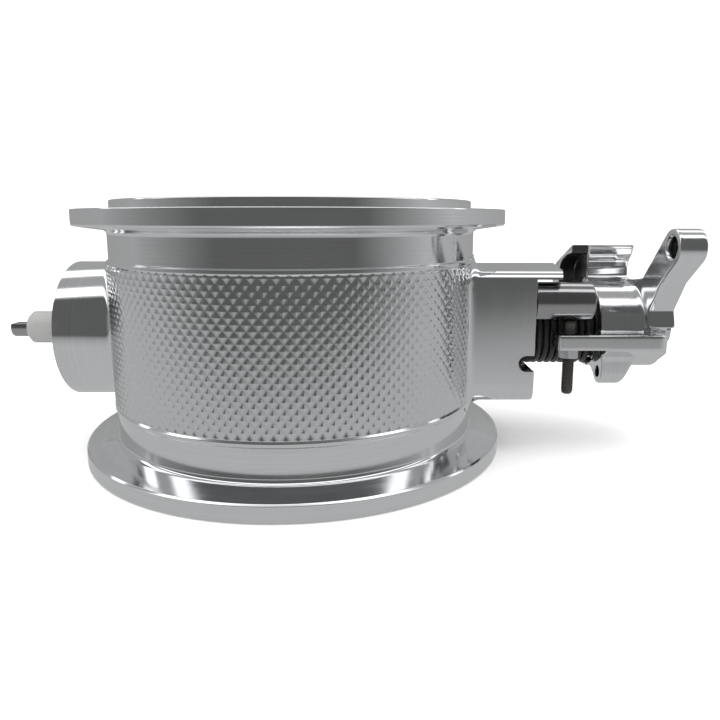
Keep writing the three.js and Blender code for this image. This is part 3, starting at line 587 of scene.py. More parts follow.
ledge_plan = eased([
    (RIGHT_FACE_X - 3, -BLOCK_HALF_Y - 1), (LEDGE_FRONT_X, -BLOCK_HALF_Y - 1),
    (LEDGE_REAR_X, BLOCK_HALF_Y - 5, 2.0), (RIGHT_FACE_X - 3, BLOCK_HALF_Y - 5),
])
ledge = combined(
    prism(block_outline, RIGHT_FACE_X - 4, LEDGE_REAR_X + 4), [prism(ledge_plan, SHAFT_Z + 19.6, 80, "z")],
    "INTERSECT",
)

hollow = turned([(0, -5), (61.2, -5), (61.2, 95), (0, 95)], 96)
left_boss, right_boss = [combined(made, [hollow], "DIFFERENCE") for made in (left_boss, right_boss)]

BEARING_OUT_R, BEARING_W = 11.7, 6.0
POCKET_R = BEARING_OUT_R + 0.3
BEARING_X = {"left": -75.6, "right": 75.0}
CLIP_R = (9.4, 12.7)


def pocket(x0, side):
    """Seat for a seal, a bearing and its retaining ring, open outwards with an eased mouth."""
    inner = x0 if side > 0 else x0 + BEARING_W
    seal, outer = inner - side * 3.9, inner + side * (BEARING_W + 0.3)
    clip = outer + side * 1.4
    face = side * (RIGHT_FACE_X if side > 0 else LEFT_FACE_X)
    outline = [
        (0, seal), (POCKET_R, seal), (POCKET_R, outer), (CLIP_R[1] + 0.3, outer), (CLIP_R[1] + 0.3, clip),
        (POCKET_R, clip), (POCKET_R, face - side * 0.5), (POCKET_R + 1.0, face + side * 0.5),
        (0, face + side * 0.5),
    ]
    return turned_x(outline, 96)


def drilled(r, x0, x1, y=0.0, z=SHAFT_Z, mouth=0.0, segments=32):
    """Cutter for a hole along X that opens at x1, with a chamfered mouth."""
    side = 1 if x1 > x0 else -1
    outline = [(0, x0), (r, x0), (r, x1), (0, x1)]
    if mouth:
        outer = x1 + side * mouth * 0.6
        outline[2:] = [(r, x1 - side * mouth), (r + mouth * 1.6, outer), (0, outer)]
    return turned_x(outline, segments, y, z)


NOTCH = Named(x=77.0, z0=29.4, z1=34.9, y=-9.0)
notch_r = (NOTCH.z1 - NOTCH.z0) / 2
notch_outline = arc(NOTCH.x + notch_r, NOTCH.z0 + notch_r, notch_r, 90, 270, 16)
notch_outline += [(RIGHT_FACE_X + 1, NOTCH.z0), (RIGHT_FACE_X + 1, NOTCH.z1)]
notch = prism(notch_outline, NOTCH.y, -BLOCK_HALF_Y - 2, "y")
POST = Named(y=-16.3, z=SHAFT_Z + 11.7, r=6.6, x1=102.6)

housing_mesh = combined(barrel(), [left_boss, right_boss, ledge], "UNION")
housing_mesh = combined(housing_mesh, [
    drilled(6.6, -85, 85, segments=72),
    pocket(BEARING_X["right"], 1),
    pocket(BEARING_X["left"], -1),
    turned_x([(0, -77.5), (15, -77.5), (15, -79.2), (15.6, -80.2), (0, -80.2)], 96),
    drilled(1.65, -70.5, -79.5, 19.2, mouth=0.5),
    drilled(1.65, -70.5, -79.5, -19.2, mouth=0.5),
    drilled(4.3, 69.5, 82.5, POST.y, POST.z, 0.4, 48),
    notch,
], "DIFFERENCE")


def housing_material(centre, normal):
    x, y, z = centre
    r = hypot(x, y)
    if r < 60.5:
        return 2
    if KNURL_Z[0] - 0.1 < z < KNURL_Z[1] + 0.1 and KNURL_FLOOR_R - 0.2 < r < BAND_R + 0.05:
        return 1
    if r < BAND_R + 0.3 or z < 8.5 or z > 75:
        return 0
    if abs(normal[0]) > 0.9 or (x > 0 and abs(normal[1]) > 0.95):
        return 4
    return 3


piece("housing_billet", housing_mesh, [barrel_turned, barrel_knurled, bore_turned, boss_turned, face_milled],
      "housing", ["throttle_housing"], 26, housing_material)

# ---- idle stop post ----
post_outline = eased([
    (0, 70.5), (3.5, 70.5), (4, 71), (4, RIGHT_FACE_X + 0.3), (POST.r, RIGHT_FACE_X + 0.3, 0.4),
    (POST.r, POST.x1, 0.9), (0, POST.x1),
], 5)
post_mesh = turned_x(post_outline, 72, POST.y, POST.z)
piece("idle_stop_dowel", post_mesh, ground_steel, "housing", ["idle_stop_post"])

# ---- bearings, seals and retaining rings ----
RACE_IN_R, RACE_OUT_R, BALL_R = 7.8, 10.3, 1.55
PITCH_R = (RACE_IN_R + RACE_OUT_R) / 2
for tag, x0 in BEARING_X.items():
    side = 1 if tag == "right" else -1
    mid = x0 + BEARING_W / 2
    half = degrees(acos((RACE_OUT_R - PITCH_R) / (BALL_R + 0.3)))
    outer_groove = arc(PITCH_R, mid, BALL_R + 0.3, -half, half, 12)
    outer = eased([(BEARING_OUT_R, x0 + BEARING_W, 0.4), (BEARING_OUT_R, x0, 0.4), (RACE_OUT_R, x0, 0.2)])
    outer += outer_groove + [(RACE_OUT_R, x0 + BEARING_W)]
    inner_groove = arc(PITCH_R, mid, BALL_R + 0.3, 180 + half, 180 - half, 12)
    inner = [(6.3, x0), (RACE_IN_R, x0)] + inner_groove + [(RACE_IN_R, x0 + BEARING_W), (6.3, x0 + BEARING_W)]
    for race, outline, body in (("outer", outer, "housing"), ("inner", inner, "throttle")):
        piece(f"{tag}_{race}_race", turned_x(outline, 80), race_steel, body,
              [f"{tag}_bearing_{race}_ring"])
    cage = tube(PITCH_R - 0.5, PITCH_R + 0.5, mid - 2.1, mid + 2.1, 0.15, 72)
    balls = []
    for k in range(7):
        t = tau * k / 7
        ball = turned([(BALL_R * sin(pi * q / 14), BALL_R * cos(pi * q / 14))
                       for q in range(15)], 24)
        shift = np.array([mid, PITCH_R * cos(t), SHAFT_Z + PITCH_R * sin(t)])
        balls.append((ball[0] + shift, ball[1]))
    ball_set = combined(cage, balls, "UNION")
    piece(f"{tag}_caged_balls", ball_set, [cage_brass, race_steel], f"{tag}_balls",
          [f"{tag}_bearing_ball_set"], 40,
          lambda c, n: 1 if abs(hypot(c[1], c[2] - SHAFT_Z) - PITCH_R) > 0.53 else 0)

    seal_x = x0 - 3.3 if side > 0 else x0 + BEARING_W + 0.3
    lip = eased([
        (6.35, seal_x + 1.1, 0.15), (6.9, seal_x + 0.3, 0.3), (8.0, seal_x + 0.9, 0.4),
        (9.6, seal_x + 0.9, 0.3), (10.0, seal_x, 0.2), (BEARING_OUT_R, seal_x, 0.3),
        (BEARING_OUT_R, seal_x + 3, 0.3), (6.9, seal_x + 3, 0.3), (6.35, seal_x + 2.0, 0.15),
    ], 3)
    piece(f"{tag}_lip_seal", turned_x(lip, 72), seal_rubber, "housing", [f"{tag}_shaft_seal"])

    clip_x = x0 + BEARING_W + 0.3 if side > 0 else x0 - 1.4
    plan = arc(0, SHAFT_Z, CLIP_R[1], 110, 430, 72) + arc(0, SHAFT_Z, CLIP_R[0] + 0.3, 418, 122, 64)
    clip = prism(plan, clip_x, clip_x + 1.1, "x", 0.12)
    piece(f"{tag}_snap_ring", clip, black_steel, "housing", [f"{tag}_retaining_ring"])

# ---- shaft, blade and blade screws ----
TILT = radians(7)
BLADE_T = 2.4
SCREW_X = (-33, -11, 11, 33)


def tilted(data):
    verts, faces = data
    c, s = cos(TILT), sin(TILT)
    y, z = verts[:, 1], verts[:, 2] - SHAFT_Z
    return np.stack([verts[:, 0], y * c - z * s, SHAFT_Z + y * s + z * c], 1), faces


def upright(profile, x, segments):
    """Turned about a vertical line through the shaft at x, then tilted with the blade."""
    return tilted(turned(profile, segments, "z", (x, 0, SHAFT_Z)))


shaft_core = turned_x(eased([
    (0, -104.6), (3.5, -104.6, 0.6), (3.5, -80), (6, -80, 0.3), (6, 130.3, 0.3), (4.1, 130.4), (4.1, 130.6),
    (0, 130.6),
], 4), 72)
thread = [plain_ring(4.05, 130.2, 40)] + threaded(3.95, 4.6, 1.25, 130.4, 136.6, 40, 8)
thread = rod_from(thread, "x", (0, 0, SHAFT_Z))
shaft_cuts = [
    box(-106, -97.6, -8, 8, SHAFT_Z + 1.5, SHAFT_Z + 8),
    tilted(box(-59.4, 59.4, -12, 12, SHAFT_Z - 1.5, SHAFT_Z + 1.5)),
    box(117, 140, -9, 9, SHAFT_Z + 4.8, SHAFT_Z + 9),
    box(117, 140, -9, 9, SHAFT_Z - 9, SHAFT_Z - 4.8),
]
head_space = [(0, -8), (2.3, -8), (2.3, 3.4), (4.3, 3.4), (4.3, 8), (0, 8)]
shaft_cuts += [upright(head_space, x, 40) for x in SCREW_X]
shaft_mesh = combined(combined(shaft_core, [thread], "UNION"), shaft_cuts, "DIFFERENCE")
piece("cross_shaft", shaft_mesh, tip_steel, "throttle", ["throttle_shaft"])

BLADE_R = BORE_R - 0.35
blade_disc = turned([(0, 25), (BLADE_R, 25), (BLADE_R, 57), (0, 57)], 236)
blade_plate = tilted(box(-70, 70, -70, 70, SHAFT_Z - BLADE_T / 2, SHAFT_Z + BLADE_T / 2))
blade_mesh = combined(blade_plate, [blade_disc], "INTERSECT")
blade_holes = [upright([(0, -8), (2.3, -8), (2.3, 8), (0, 8)], x, 40) for x in SCREW_X]
blade_mesh = combined(blade_mesh, blade_holes, "DIFFERENCE")
piece("butterfly_blade", blade_mesh, blade_skin, "throttle", ["throttle_blade"])

for k, x in enumerate(SCREW_X):
    head = turned(eased([(0, 3.7), (3.8, 3.7, 0.15), (3.8, 4.5, 0.3), (3.0, 5.45, 0.5), (0, 5.9)], 3), 48)
    shank = rod_from([plain_ring(1.7, -5.2, 24)] + threaded(1.65, 2.0, 0.7, -5.1, 3.2, 24)
                     + [plain_ring(1.9, 3.3, 24), plain_ring(1.9, 4.2, 24)], "z")
    socket = prism(hexagon(2.5, 0, 0), 4.3, 7, "z")
    verts, faces = combined(combined(head, [shank], "UNION"), [socket], "DIFFERENCE")
    piece(f"blade_bolt_{k + 1}", tilted((verts + np.array([x, 0, SHAFT_Z]), faces)), black_steel, "throttle",
          [f"blade_screw_{k + 1}"])

# ---- sensor drive sleeve ----
sleeve = eased([
    (3.8, -98, 0.2), (4.68, -98, 0.2), (5.88, -96.8, 0.3), (5.88, -80.6, 0.25), (3.8, -80.6, 0.2),
], 4)
piece("sensor_sleeve", turned_x(sleeve, 72), acetal, "throttle", ["sensor_drive_sleeve"])

# ---- lever, carved from one block ----
HUB_X = (106.6, 130.5)
HUB_R, CROWN_R, CROWN_X1, ARM_X0 = 14.2, 17.1, 123.4, 121.8
ARM_ROOT_R = 20.2
ARM_TIP = Named(y=-31.0, z=30.5, r=6.0, hole=3.1)
WING_R, WING_REAR = 30.4, 149
CLAW_X0, CLAW_INNER_R = 100.6, 14.0
TANG = Named(x0=89.8, x1=127.4, front=-24.5, back=-14.2, z0=-4.1, z1=1.1, corner=3.8)
TANG_ROOT = (-13.5, -10.7)  # lower edge of the sloping face under the tang
EAR = Named(y=-14.7, z=-13.2, r=4.3, hole=1.9, x1=118.3, x1_low=113.0)
SCREW = Named(x=95.3, y=-18.0, r=2.08, l=25.4)
SPRING = Named(r=12.2, wire=1.05, turns=8, x0=84.7, x1=104.4, start=-74.0)
SPRING_END_DEG = SPRING.start - 360 * SPRING.turns
CELL = 0.34
EDGE_BLUR = 0.26  # rounds every edge of the lever


def polar(deg, r):
    """(y, z - shaft) at an angle round the shaft: 0 is the front, 90 is up."""
    return -r * cos(radians(deg)), r * sin(radians(deg))


def outline_field(points, u, v):
    """Signed distance from a closed outline, sampled where u and v meet."""
    pu, pv = np.meshgrid(u, v, indexing="ij")
    best = np.full(pu.shape, 1e9)
    inside = np.zeros(pu.shape, bool)
    for (u0, v0), (u1, v1) in zip(points, points[1:] + points[:1]):
        du, dv = u1 - u0, v1 - v0
        along = np.clip(((pu - u0) * du + (pv - v0) * dv) / max(du * du + dv * dv, 1e-12), 0, 1)
        best = np.minimum(best, (pu - u0 - along * du) ** 2 + (pv - v0 - along * dv) ** 2)
        if v0 != v1:
            crosses = ((v0 > pv) != (v1 > pv)) & (pu < (v1 - v0 and du * (pv - v0) / dv + u0))
            inside ^= crosses
    return np.sqrt(best) * np.where(inside, -1, 1)


def soft_union(a, b, reach):
    """Union with a fillet of about that reach where the two meet."""
    blend = np.maximum(reach - np.abs(a - b), 0) / reach
    return np.minimum(a, b) - blend * blend * reach / 4


def lever_field():
    x = np.arange(TANG.x0 - 1.5, HUB_X[1] + 1.5, CELL)
    y = np.arange(-38.6, 28.4, CELL)
    z = np.arange(-19.6, 38.2, CELL)
    radius = np.hypot(*np.meshgrid(y, z, indexing="ij"))

    def span(x0, x1):
        return (np.abs(x - (x0 + x1) / 2) - (x1 - x0) / 2)[:, None, None]

    def extruded(flat, x0, x1):
        return np.maximum(flat[None], span(x0, x1))

    def slab(points, x0, x1):
        return extruded(outline_field(points, y, z), x0, x1)

    def disc(cy, cz, r):
        return np.hypot(*np.meshgrid(y - cy, z - cz, indexing="ij")) - r

    level = z[None, :]
    rim = arc(0, 0, WING_R, 48, 180 - WING_REAR, 12)
    hub = extruded(radius - HUB_R, *HUB_X)
    crown = extruded(np.maximum(radius - CROWN_R, TANG.z0 + 0.5 - level), HUB_X[0], CROWN_X1 + 0.5)
    wing_points = [
        polar(100, CROWN_R - 2), (5.4, 18.8), (5.9, 21.5), (4.9, 24.0), (2.5, 26.6), (1.5, 28.8),
        polar(92, WING_R), *rim, polar(WING_REAR, CROWN_R - 2),
    ]
    wing = slab(wing_points, HUB_X[0], CROWN_X1)
    run, lift = hypot(POST.y, POST.z - SHAFT_Z), POST.r + 0.4
    seat_deg = degrees(atan2(POST.z - SHAFT_Z, -POST.y)) + 80
    claw_points = [
        polar(92, run + lift), polar(92, WING_R), *rim,
        *arc(0, 0, CLAW_INNER_R, 180 - WING_REAR, 88, 24),
    ]
    claw = slab(claw_points, CLAW_X0, HUB_X[0] + 0.6)
    sweep_points = [
        *arc(0, 0, run + lift, 120, 180 - seat_deg, 24), *arc(0, 0, run - lift, 180 - seat_deg, 120, 24),
    ]
    swept_space = np.minimum(outline_field(sweep_points, y, z), disc(*polar(seat_deg, run), lift))
    claw = np.maximum(claw, -extruded(swept_space, CLAW_X0 - 2, HUB_X[0]))
    arm_points = [
        *arc(ARM_TIP.y, ARM_TIP.z, ARM_TIP.r, 42, 222, 30), (-25.4, 18.6),
        *arc(0, 0, ARM_ROOT_R, 155, 172, 10), (0, 2.8), polar(100, ARM_ROOT_R - 3), (-11, 19.2),
    ]
    arm = slab(arm_points, ARM_X0, HUB_X[1])
    tang_front = [(TANG.front, TANG.z1), (TANG.front, TANG.z0)]
    tang_points = [*tang_front, (TANG.back, TANG.z0), (TANG.back, TANG.z1)]
    root_points = [*tang_front, TANG_ROOT, (0, TANG_ROOT[1]), (0, TANG.z1)]
    tang = np.minimum(slab(tang_points, TANG.x0, TANG.x1), slab(root_points, HUB_X[0], TANG.x1))
    corner = TANG.corner
    plan = [*arc(TANG.x1 - corner, TANG.front + corner, corner, -90, 0, 16), (TANG.x1, 10),
            (TANG.x0, 10), (TANG.x0, TANG.front + 0.8), (TANG.x0 + 0.8, TANG.front)]
    tang = np.maximum(tang, outline_field(plan, x, y)[:, :, None])
    ear_points = [
        *arc(EAR.y, EAR.z, EAR.r, 180, 330, 20), (-2, -10), (-12, -4), (EAR.y - EAR.r, -6),
    ]
    ear = slab(ear_points, HUB_X[0], EAR.x1)
    run_x, run_z = EAR.x1 - EAR.x1_low, TANG_ROOT[1] + 3 - (EAR.z - EAR.r - 1)
    slant = (x - EAR.x1)[:, None, None] * run_z - (level[None] - TANG_ROOT[1] - 3) * run_x
    ear = np.maximum(ear, slant / hypot(run_x, run_z))

    body = hub
    for part, reach in ((crown, 1.0), (wing, 2.0), (arm, 1.8), (tang, 0.9), (ear, 1.2)):
        body = soft_union(body, part, reach)
    body = np.minimum(body, claw)
    coil_space = extruded(radius - 13.6, CLAW_X0 - 20, HUB_X[0])  # the spring and its guide stay clear
    body = np.maximum(body, -coil_space)

    bore = extruded(radius - 6.3, HUB_X[0] - 2, 117.3)
    flat_bore = extruded(np.maximum(radius - 6.3, np.abs(level) - 5.1), 117, HUB_X[1] + 2)
    arm_bore = disc(ARM_TIP.y, ARM_TIP.z, ARM_TIP.hole)
    rib = 0.22 * np.abs((x * 0.8) % 2 - 1)
    ends = np.maximum(span(ARM_X0, HUB_X[1]) + 0.8, 0)
    threads = rib[:, None, None] + np.minimum(ends, 1.0)
    eye = np.maximum(arm_bore[None] - threads, span(ARM_X0 - 1, HUB_X[1] + 1))
    ear_eye = extruded(disc(EAR.y, EAR.z, EAR.hole), HUB_X[0] - 2, EAR.x1 + 2)
    seat_y, seat_z = polar(SPRING_END_DEG, SPRING.r)
    leg_hole = extruded(disc(seat_y, seat_z, 1.35), HUB_X[0] - 2, HUB_X[0] + 4.3)
    from_screw = np.hypot(*np.meshgrid(x - SCREW.x, y - SCREW.y, indexing="ij"))
    screw_hole = (from_screw - SCREW.r - 0.3)[:, :, None]
    for cut in (bore, flat_bore, eye, ear_eye, leg_hole, screw_hole):
        body = np.maximum(body, -cut)

    shifts = np.arange(-4, 5)
    kernel = np.exp(-0.5 * (shifts * CELL / EDGE_BLUR) ** 2)
    kernel /= kernel.sum()
    for axis in range(3):
        body = sum(np.roll(body, shift, axis) * share for shift, share in zip(shifts, kernel) if share > 1e-4)
    return body, (x[0], y[0], z[0])


def sampled(field, points):
    """Field and its gradient at points in grid units."""
    base = np.clip(np.floor(points).astype(int), 0, np.array(field.shape) - 2)
    f = points - base
    value, slope = 0, np.zeros_like(points)
    for key in product((0, 1), repeat=3):
        sample = field[tuple((base + key).T)]
        w = [f[:, a] if key[a] else 1 - f[:, a] for a in range(3)]
        value = value + sample * w[0] * w[1] * w[2]
        for a in range(3):
            b, c = (a + 1) % 3, (a + 2) % 3
            slope[:, a] += (1 if key[a] else -1) * sample * w[b] * w[c]
    return value, slope


def surface_of(field, origin, cell):
    """Even quad mesh over the zero level of a sampled field."""
    inside = field < 0
    shape = tuple(n - 1 for n in field.shape)
    total, hits = np.zeros((*shape, 3)), np.zeros(shape)
    crossings = []
    for axis in range(3):
        start = np.take(field, range(field.shape[axis] - 1), axis)
        end = np.take(field, range(1, field.shape[axis]), axis)
        crossed = (start < 0) != (end < 0)
        with np.errstate(divide="ignore", invalid="ignore"):
            share = np.where(crossed, start / (start - end), 0)
        crossings.append(crossed)
        b, c = [k for k in range(3) if k != axis]
        for p, q in product((0, 1), repeat=2):
            window = [slice(None)] * 3
            window[b], window[c] = slice(p, p + shape[b]), slice(q, q + shape[c])
            mask, t = crossed[tuple(window)], share[tuple(window)]
            hits += mask
            total[..., axis] += np.where(mask, t, 0)
            total[..., b] += mask * p
            total[..., c] += mask * q
    used = hits > 0
    cells = np.argwhere(used)
    index = np.full(shape, -1)
    index[used] = np.arange(len(cells))
    points = cells + total[used] / hits[used][:, None]
    for _ in range(3):
        value, slope = sampled(field, points)
        points = points - slope * (value / np.maximum((slope ** 2).sum(1), 1e-9))[:, None]
    faces = []
    for axis in range(3):
        b, c = (axis + 1) % 3, (axis + 2) % 3
        edges = np.argwhere(crossings[axis])
        edges = edges[(edges[:, b] > 0) & (edges[:, c] > 0)]
        edges = edges[(edges[:, b] < shape[b]) & (edges[:, c] < shape[c])]
        quad = []
        for db, dc in ((1, 1), (0, 1), (0, 0), (1, 0)):
            at = edges.copy()
            at[:, b] -= db
            at[:, c] -= dc
            quad.append(index[tuple(at.T)])
        quad = np.stack(quad, 1)
        starts_inside = inside[tuple(edges.T)]
        quad[~starts_inside] = quad[~starts_inside][:, ::-1]
        faces.append(quad)
    return origin + points * cell, np.vstack(faces).tolist()


lever_verts, lever_faces = surface_of(*lever_field(), CELL)
lever_verts[:, 2] += SHAFT_Z


def lever_material(centre, normal):
    """Tapped eyes and the claw's seat are painted darker than the milled faces: painted shade in these
    hollows.
    """
    x, y, z = centre[0], centre[1], centre[2] - SHAFT_Z
    # the tapped eye walls get the painted-shade colour
    if x > ARM_X0 - 0.2 and hypot(y - ARM_TIP.y, z - ARM_TIP.z) < ARM_TIP.hole + 0.35:
        return 1
    if hypot(y - EAR.y, z - EAR.z) < EAR.hole + 0.1:
        return 1
    # the claw's seat faces get the painted-shade colour
    if x < HUB_X[0] - 0.1 and z > 10 and abs(normal[0]) < 0.6 and hypot(y, z) < WING_R - 0.4:
        return 2
    return 0


lever_looks = [lever_milled, eye_bore_painted_shade, claw_seat_painted_shade]
piece("linkage_lever", outward(lever_verts, lever_faces), lever_looks, "throttle",
      ["throttle_lever"], 60, lever_material)

# ---- lever fastening ----
washer = tube(5.0, 9.0, 130.8, 132.0, 0.25, 72)
piece("shaft_washer", washer, zinc_steel, "throttle", ["lever_washer"])


def nut(across_flats, thickness, bore):
    """Chamfered hexagon with a plain bore, countersunk at both ends, standing on Z = 0."""
    body = prism(hexagon(across_flats, 0, 0), 0, thickness, "z")
    flat, reach = across_flats / 2 * 0.97, across_flats / sqrt(3)
    drop = (reach - across_flats / 2) * 0.6
    reach += 0.01
    crown = turned([
        (0, 0), (flat, 0), (reach, drop), (reach, thickness - drop), (flat, thickness), (0, thickness),
    ], 72)
    hole = turned([
        (0, -1), (bore + 0.9, -1), (bore, 0.45), (bore, thickness - 0.45), (bore + 0.9, thickness + 1),
        (0, thickness + 1),
    ], 48)
    return combined(combined(body, [crown], "INTERSECT"), [hole], "DIFFERENCE")


verts, faces = nut(13, 3.4, 4.9)
verts = np.stack([verts[:, 2] + 132.3, verts[:, 0], verts[:, 1] + SHAFT_Z], 1)
piece("shaft_nut", outward(verts, faces), zinc_steel, "throttle", ["lever_nut"])

# ---- idle screw and its jam nut ----
rise = sqrt(POST.r ** 2 - (SCREW.y - POST.y) ** 2)
screw_top = POST.z - rise - 0.3
screw_low = screw_top - SCREW.l
rings = [plain_ring(1.3, screw_low, 32), plain_ring(1.75, screw_low + 0.45, 32)]
rings += threaded(1.72, SCREW.r, 0.79, screw_low + 0.45, screw_top - 2.2, 32, 7)
rings += [plain_ring(r, screw_top - drop, 32) for r, drop in ((1.9, 2.1), (1.9, 0.6), (1.6, 0.15), (1.1, 0))]
screw_mesh = rod_from(rings, "z", (SCREW.x, SCREW.y, 0))
socket = prism(hexagon(1.7, SCREW.x, SCREW.y), screw_low - 1, screw_low + 2.4, "z")
screw_mesh = combined(screw_mesh, [socket], "DIFFERENCE")
piece("idle_set_screw", screw_mesh, black_steel, "idle_screw", ["idle_stop_screw"])

verts, faces = nut(6.35, 3.2, SCREW.r + 0.3)
turn = radians(10)
x = verts[:, 0] * cos(turn) - verts[:, 1] * sin(turn)
y = verts[:, 0] * sin(turn) + verts[:, 1] * cos(turn)
verts = np.stack([x + SCREW.x, y + SCREW.y, verts[:, 2] + SHAFT_Z + TANG.z0 - 3.5], 1)
piece("idle_lock_nut", (verts, faces), zinc_steel, "throttle", ["idle_jam_nut"])

# ---- return spring and its guide ----
guide = eased([(6.3, 82.8, 0.2), (10.6, 82.8, 0.3), (10.6, 106.3, 0.3), (6.3, 106.3, 0.2)], 3)
piece("spring_bush", turned_x(guide, 72), guide_plastic, "housing", ["spring_guide"])

LEG = Named(y=-13.0, z=32.0, hook=79.8)


def smooth_line(points, steps):
    """Curve through the points, with the same number of steps from each to the next."""
    pts = [Vector(p) for p in points]
    pts = [pts[0] * 2 - pts[1], *pts, pts[-1] * 2 - pts[-2]]
    line = []
    for p0, p1, p2, p3 in zip(pts, pts[1:], pts[2:], pts[3:]):
        for k in range(steps):
            t = k / steps
            line.append(tuple(0.5 * (2 * p1 + (p2 - p0) * t + (2 * p0 - 5 * p1 + 4 * p2 - p3) * t * t
                                     + (3 * p1 - p0 - 3 * p2 + p3) * t ** 3)))
    return [*line, tuple(pts[-2])]


coil = []
steps = SPRING.turns * 30
for k in range(steps + 1):
    share = k / steps
    y, z = polar(SPRING.start - 360 * SPRING.turns * share, SPRING.r)
    coil.append((SPRING.x0 + (SPRING.x1 - SPRING.x0) * share, y, SHAFT_Z + z))
fixed_leg = smooth_line([
    (LEG.hook, LEG.y, LEG.z - 1.8), (LEG.hook, LEG.y, LEG.z - 0.9),
    (LEG.hook + 0.6, LEG.y, LEG.z - 0.15), (LEG.hook + 1.6, LEG.y, LEG.z),
    (SPRING.x0 - 1.3, LEG.y, LEG.z), (SPRING.x0 - 0.3, LEG.y + 0.6, LEG.z - 0.2),
    (SPRING.x0, LEG.y + 2, LEG.z - 0.6), coil[0],
], 4)
seat_y, seat_z = polar(SPRING_END_DEG, SPRING.r)
bend_y, bend_z = polar(SPRING_END_DEG - 6, SPRING.r)
moving_leg = smooth_line([
    coil[-2], (SPRING.x1 + 0.8, bend_y, SHAFT_Z + bend_z), (HUB_X[0] - 0.6, seat_y, SHAFT_Z + seat_z),
    (HUB_X[0] + 4.0, seat_y, SHAFT_Z + seat_z),
], 4)
spring_line = fixed_leg[:-1] + coil[:-2] + moving_leg
spring = piece("torsion_spring", swept(spring_line, SPRING.wire), spring_black, None,
               ["return_spring"], 60)
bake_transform(spring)

# ---- studio ----
CENTRE = Vector((0.017, 0, 0.043))


def glow(name):
    material, tree, principled = shader(name)
    tree.nodes.remove(principled)
    emission = node(tree, "ShaderNodeEmission")
    tree.links.new(emission.outputs[0], tree.nodes["Material Output"].inputs["Surface"])
    return material, tree, emission


def object_place(tree):
    """Outputs for a point's place on its object, and for its X, Y and Z."""
    where = node(tree, "ShaderNodeTexCoord").outputs["Object"]
    split = node(tree, "ShaderNodeSeparateXYZ")
    tree.links.new(where, split.inputs[0])
    return where, *split.outputs


def greys_round(tree, up, across, stops):
    """Grey by the direction of (across, up). A stop is (degrees from across towards up, grey)."""
    made = node(tree, "ShaderNodeValToRGB")
    elements = made.color_ramp.elements
    elements.remove(elements[1])
    for k, (angle, grey) in enumerate(stops):
        place = angle / 360 + 0.5
        element = elements[0] if k == 0 else elements.new(place)
        element.position = place
        element.color = (grey, grey, grey, 1)
    turn = maths(tree, "ARCTAN2", up, across)
    tree.links.new(ramp(tree, turn, -pi, pi, 0, 1), made.inputs["Fac"])
    return made.outputs["Color"]


def hide_from(made, *rays):
    for ray in rays:
        setattr(made, f"visible_{ray}", False)
    return made


# seen in the metal, but neither in the picture nor in the light on the floor
ALL_BUT_GLOSSY = ("camera", "diffuse", "shadow", "transmission", "volume_scatter")
WALL_DIM = 0.12  # the unlit side of the studio, behind the camera


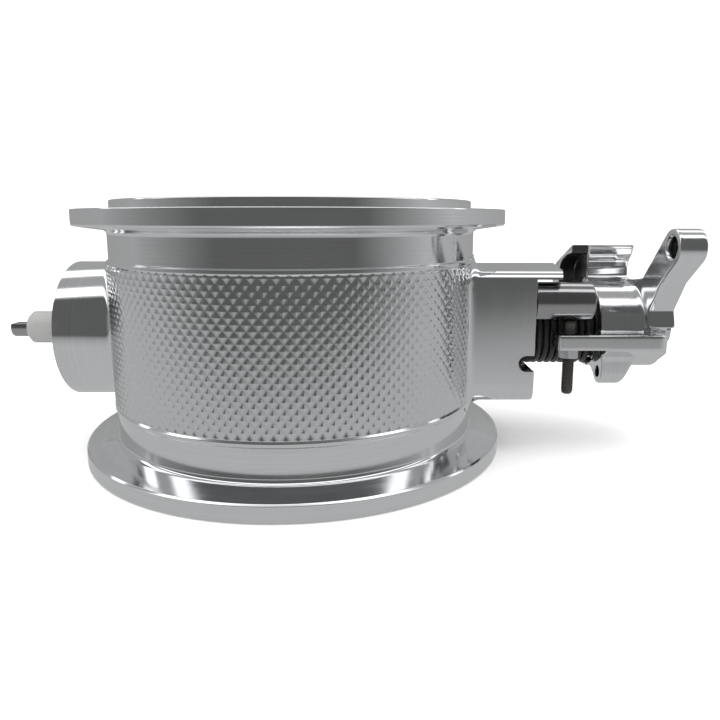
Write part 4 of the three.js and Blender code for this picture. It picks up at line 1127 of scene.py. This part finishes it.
def room():
    """Plain studio for the metal to reflect: dim behind the camera, pale sides, two long soft lamps."""
    bpy.ops.mesh.primitive_uv_sphere_add(segments=64, ring_count=32, radius=2.5, location=CENTRE)
    dome = bpy.context.object
    dome.name = "room"
    material, tree, emission = glow("room_light")
    link = tree.links.new
    where, x, y, z = object_place(tree)
    front = maths(tree, "MULTIPLY", y, -1)
    walls = greys_round(tree, x, front, [
        (-180, 0.3), (-100, 0.4), (-40, WALL_DIM), (40, WALL_DIM), (90, 0.5), (180, 0.3),
    ])
    lamps = greys_round(tree, z, front, [
        (0, WALL_DIM), (60, WALL_DIM), (65, 1.0), (80, 1.0), (85, 0.4), (105, 0.4), (110, 1.0), (125, 1.0),
        (130, 0.4), (180, 0.4),
    ])
    reach = node(tree, "ShaderNodeVectorMath", operation="LENGTH")
    link(where, reach.inputs[0])
    height = maths(tree, "DIVIDE", z, reach.outputs["Value"])
    mix = node(tree, "ShaderNodeMix", data_type="RGBA")
    link(ramp(tree, height, 0.1, 0.3, 0, 1), mix.inputs["Factor"])
    link(walls, mix.inputs["A"])
    link(lamps, mix.inputs["B"])
    link(mix.outputs["Result"], emission.inputs["Color"])
    grey = node(tree, "ShaderNodeRGBToBW")
    link(mix.outputs["Result"], grey.inputs[0])
    link(ramp(tree, grey.outputs[0], 0.7, 1.0, 1.0, 1.8), emission.inputs["Strength"])
    dome.data.materials.append(material)
    dome.data.shade_smooth()
    return hide_from(dome, *ALL_BUT_GLOSSY)


def level_sheet(name, size, z, material):
    bpy.ops.mesh.primitive_plane_add(size=size, location=(0, 0, z))
    made = bpy.context.object
    made.name = name
    made.data.materials.append(material)
    return made


def table_glow():
    """The table as the metal sees it: pale round the part and dimmer towards the camera."""
    material, tree, emission = glow("table_light")
    _, _, y, _ = object_place(tree)
    tree.links.new(ramp(tree, y, -0.4, -0.1, WALL_DIM, 0.5), emission.inputs["Color"])
    return hide_from(level_sheet("table_reflection", 1.3, -0.0004, material), *ALL_BUT_GLOSSY)


def floor():
    material, _, principled = shader("floor_paper")
    principled.inputs["Base Color"].default_value = (0.93, 0.93, 0.93, 1)
    principled.inputs["Roughness"].default_value = 0.95
    principled.inputs["Specular IOR Level"].default_value = 0.1
    return hide_from(level_sheet("floor", 12, -0.0005, material), "glossy")


def lamp(name, location, size, power):
    data = bpy.data.lights.new(name, "AREA")
    data.shape = "RECTANGLE"
    data.size, data.size_y = size
    data.energy = power
    made = placed(name, data)
    made.location = location
    made.rotation_mode = "QUATERNION"
    made.rotation_quaternion = (CENTRE - Vector(location)).to_track_quat("-Z", "Y")
    hide_from(made, "camera", "glossy")


room()
table_glow()
floor()
lamp("softbox_top", (0.0, -0.15, 1.2), (1.2, 0.9), 8)
lamp("softbox_left", (-0.9, -0.5, 0.8), (0.9, 0.9), 0.7)

world = bpy.data.worlds.new("studio")
bpy.context.scene.world = world
world.use_nodes = True
background = world.node_tree.nodes["Background"].inputs
background["Color"].default_value = (1, 1, 1, 1)
background["Strength"].default_value = 1.36
bpy.context.scene.view_settings.view_transform = "Standard"

camera_data = bpy.data.cameras.new("camera")
camera = placed("camera", camera_data)
camera.location = (0.02617, -0.23388, 0.08059)
camera.rotation_euler = (radians(90 - 9.762), 0, 0)
camera_data.sensor_width = 36
camera_data.lens = 31.98
camera_data.shift_x = -0.0110
camera_data.shift_y = -0.0437
camera_data.clip_start = 0.005
bpy.context.scene.camera = camera
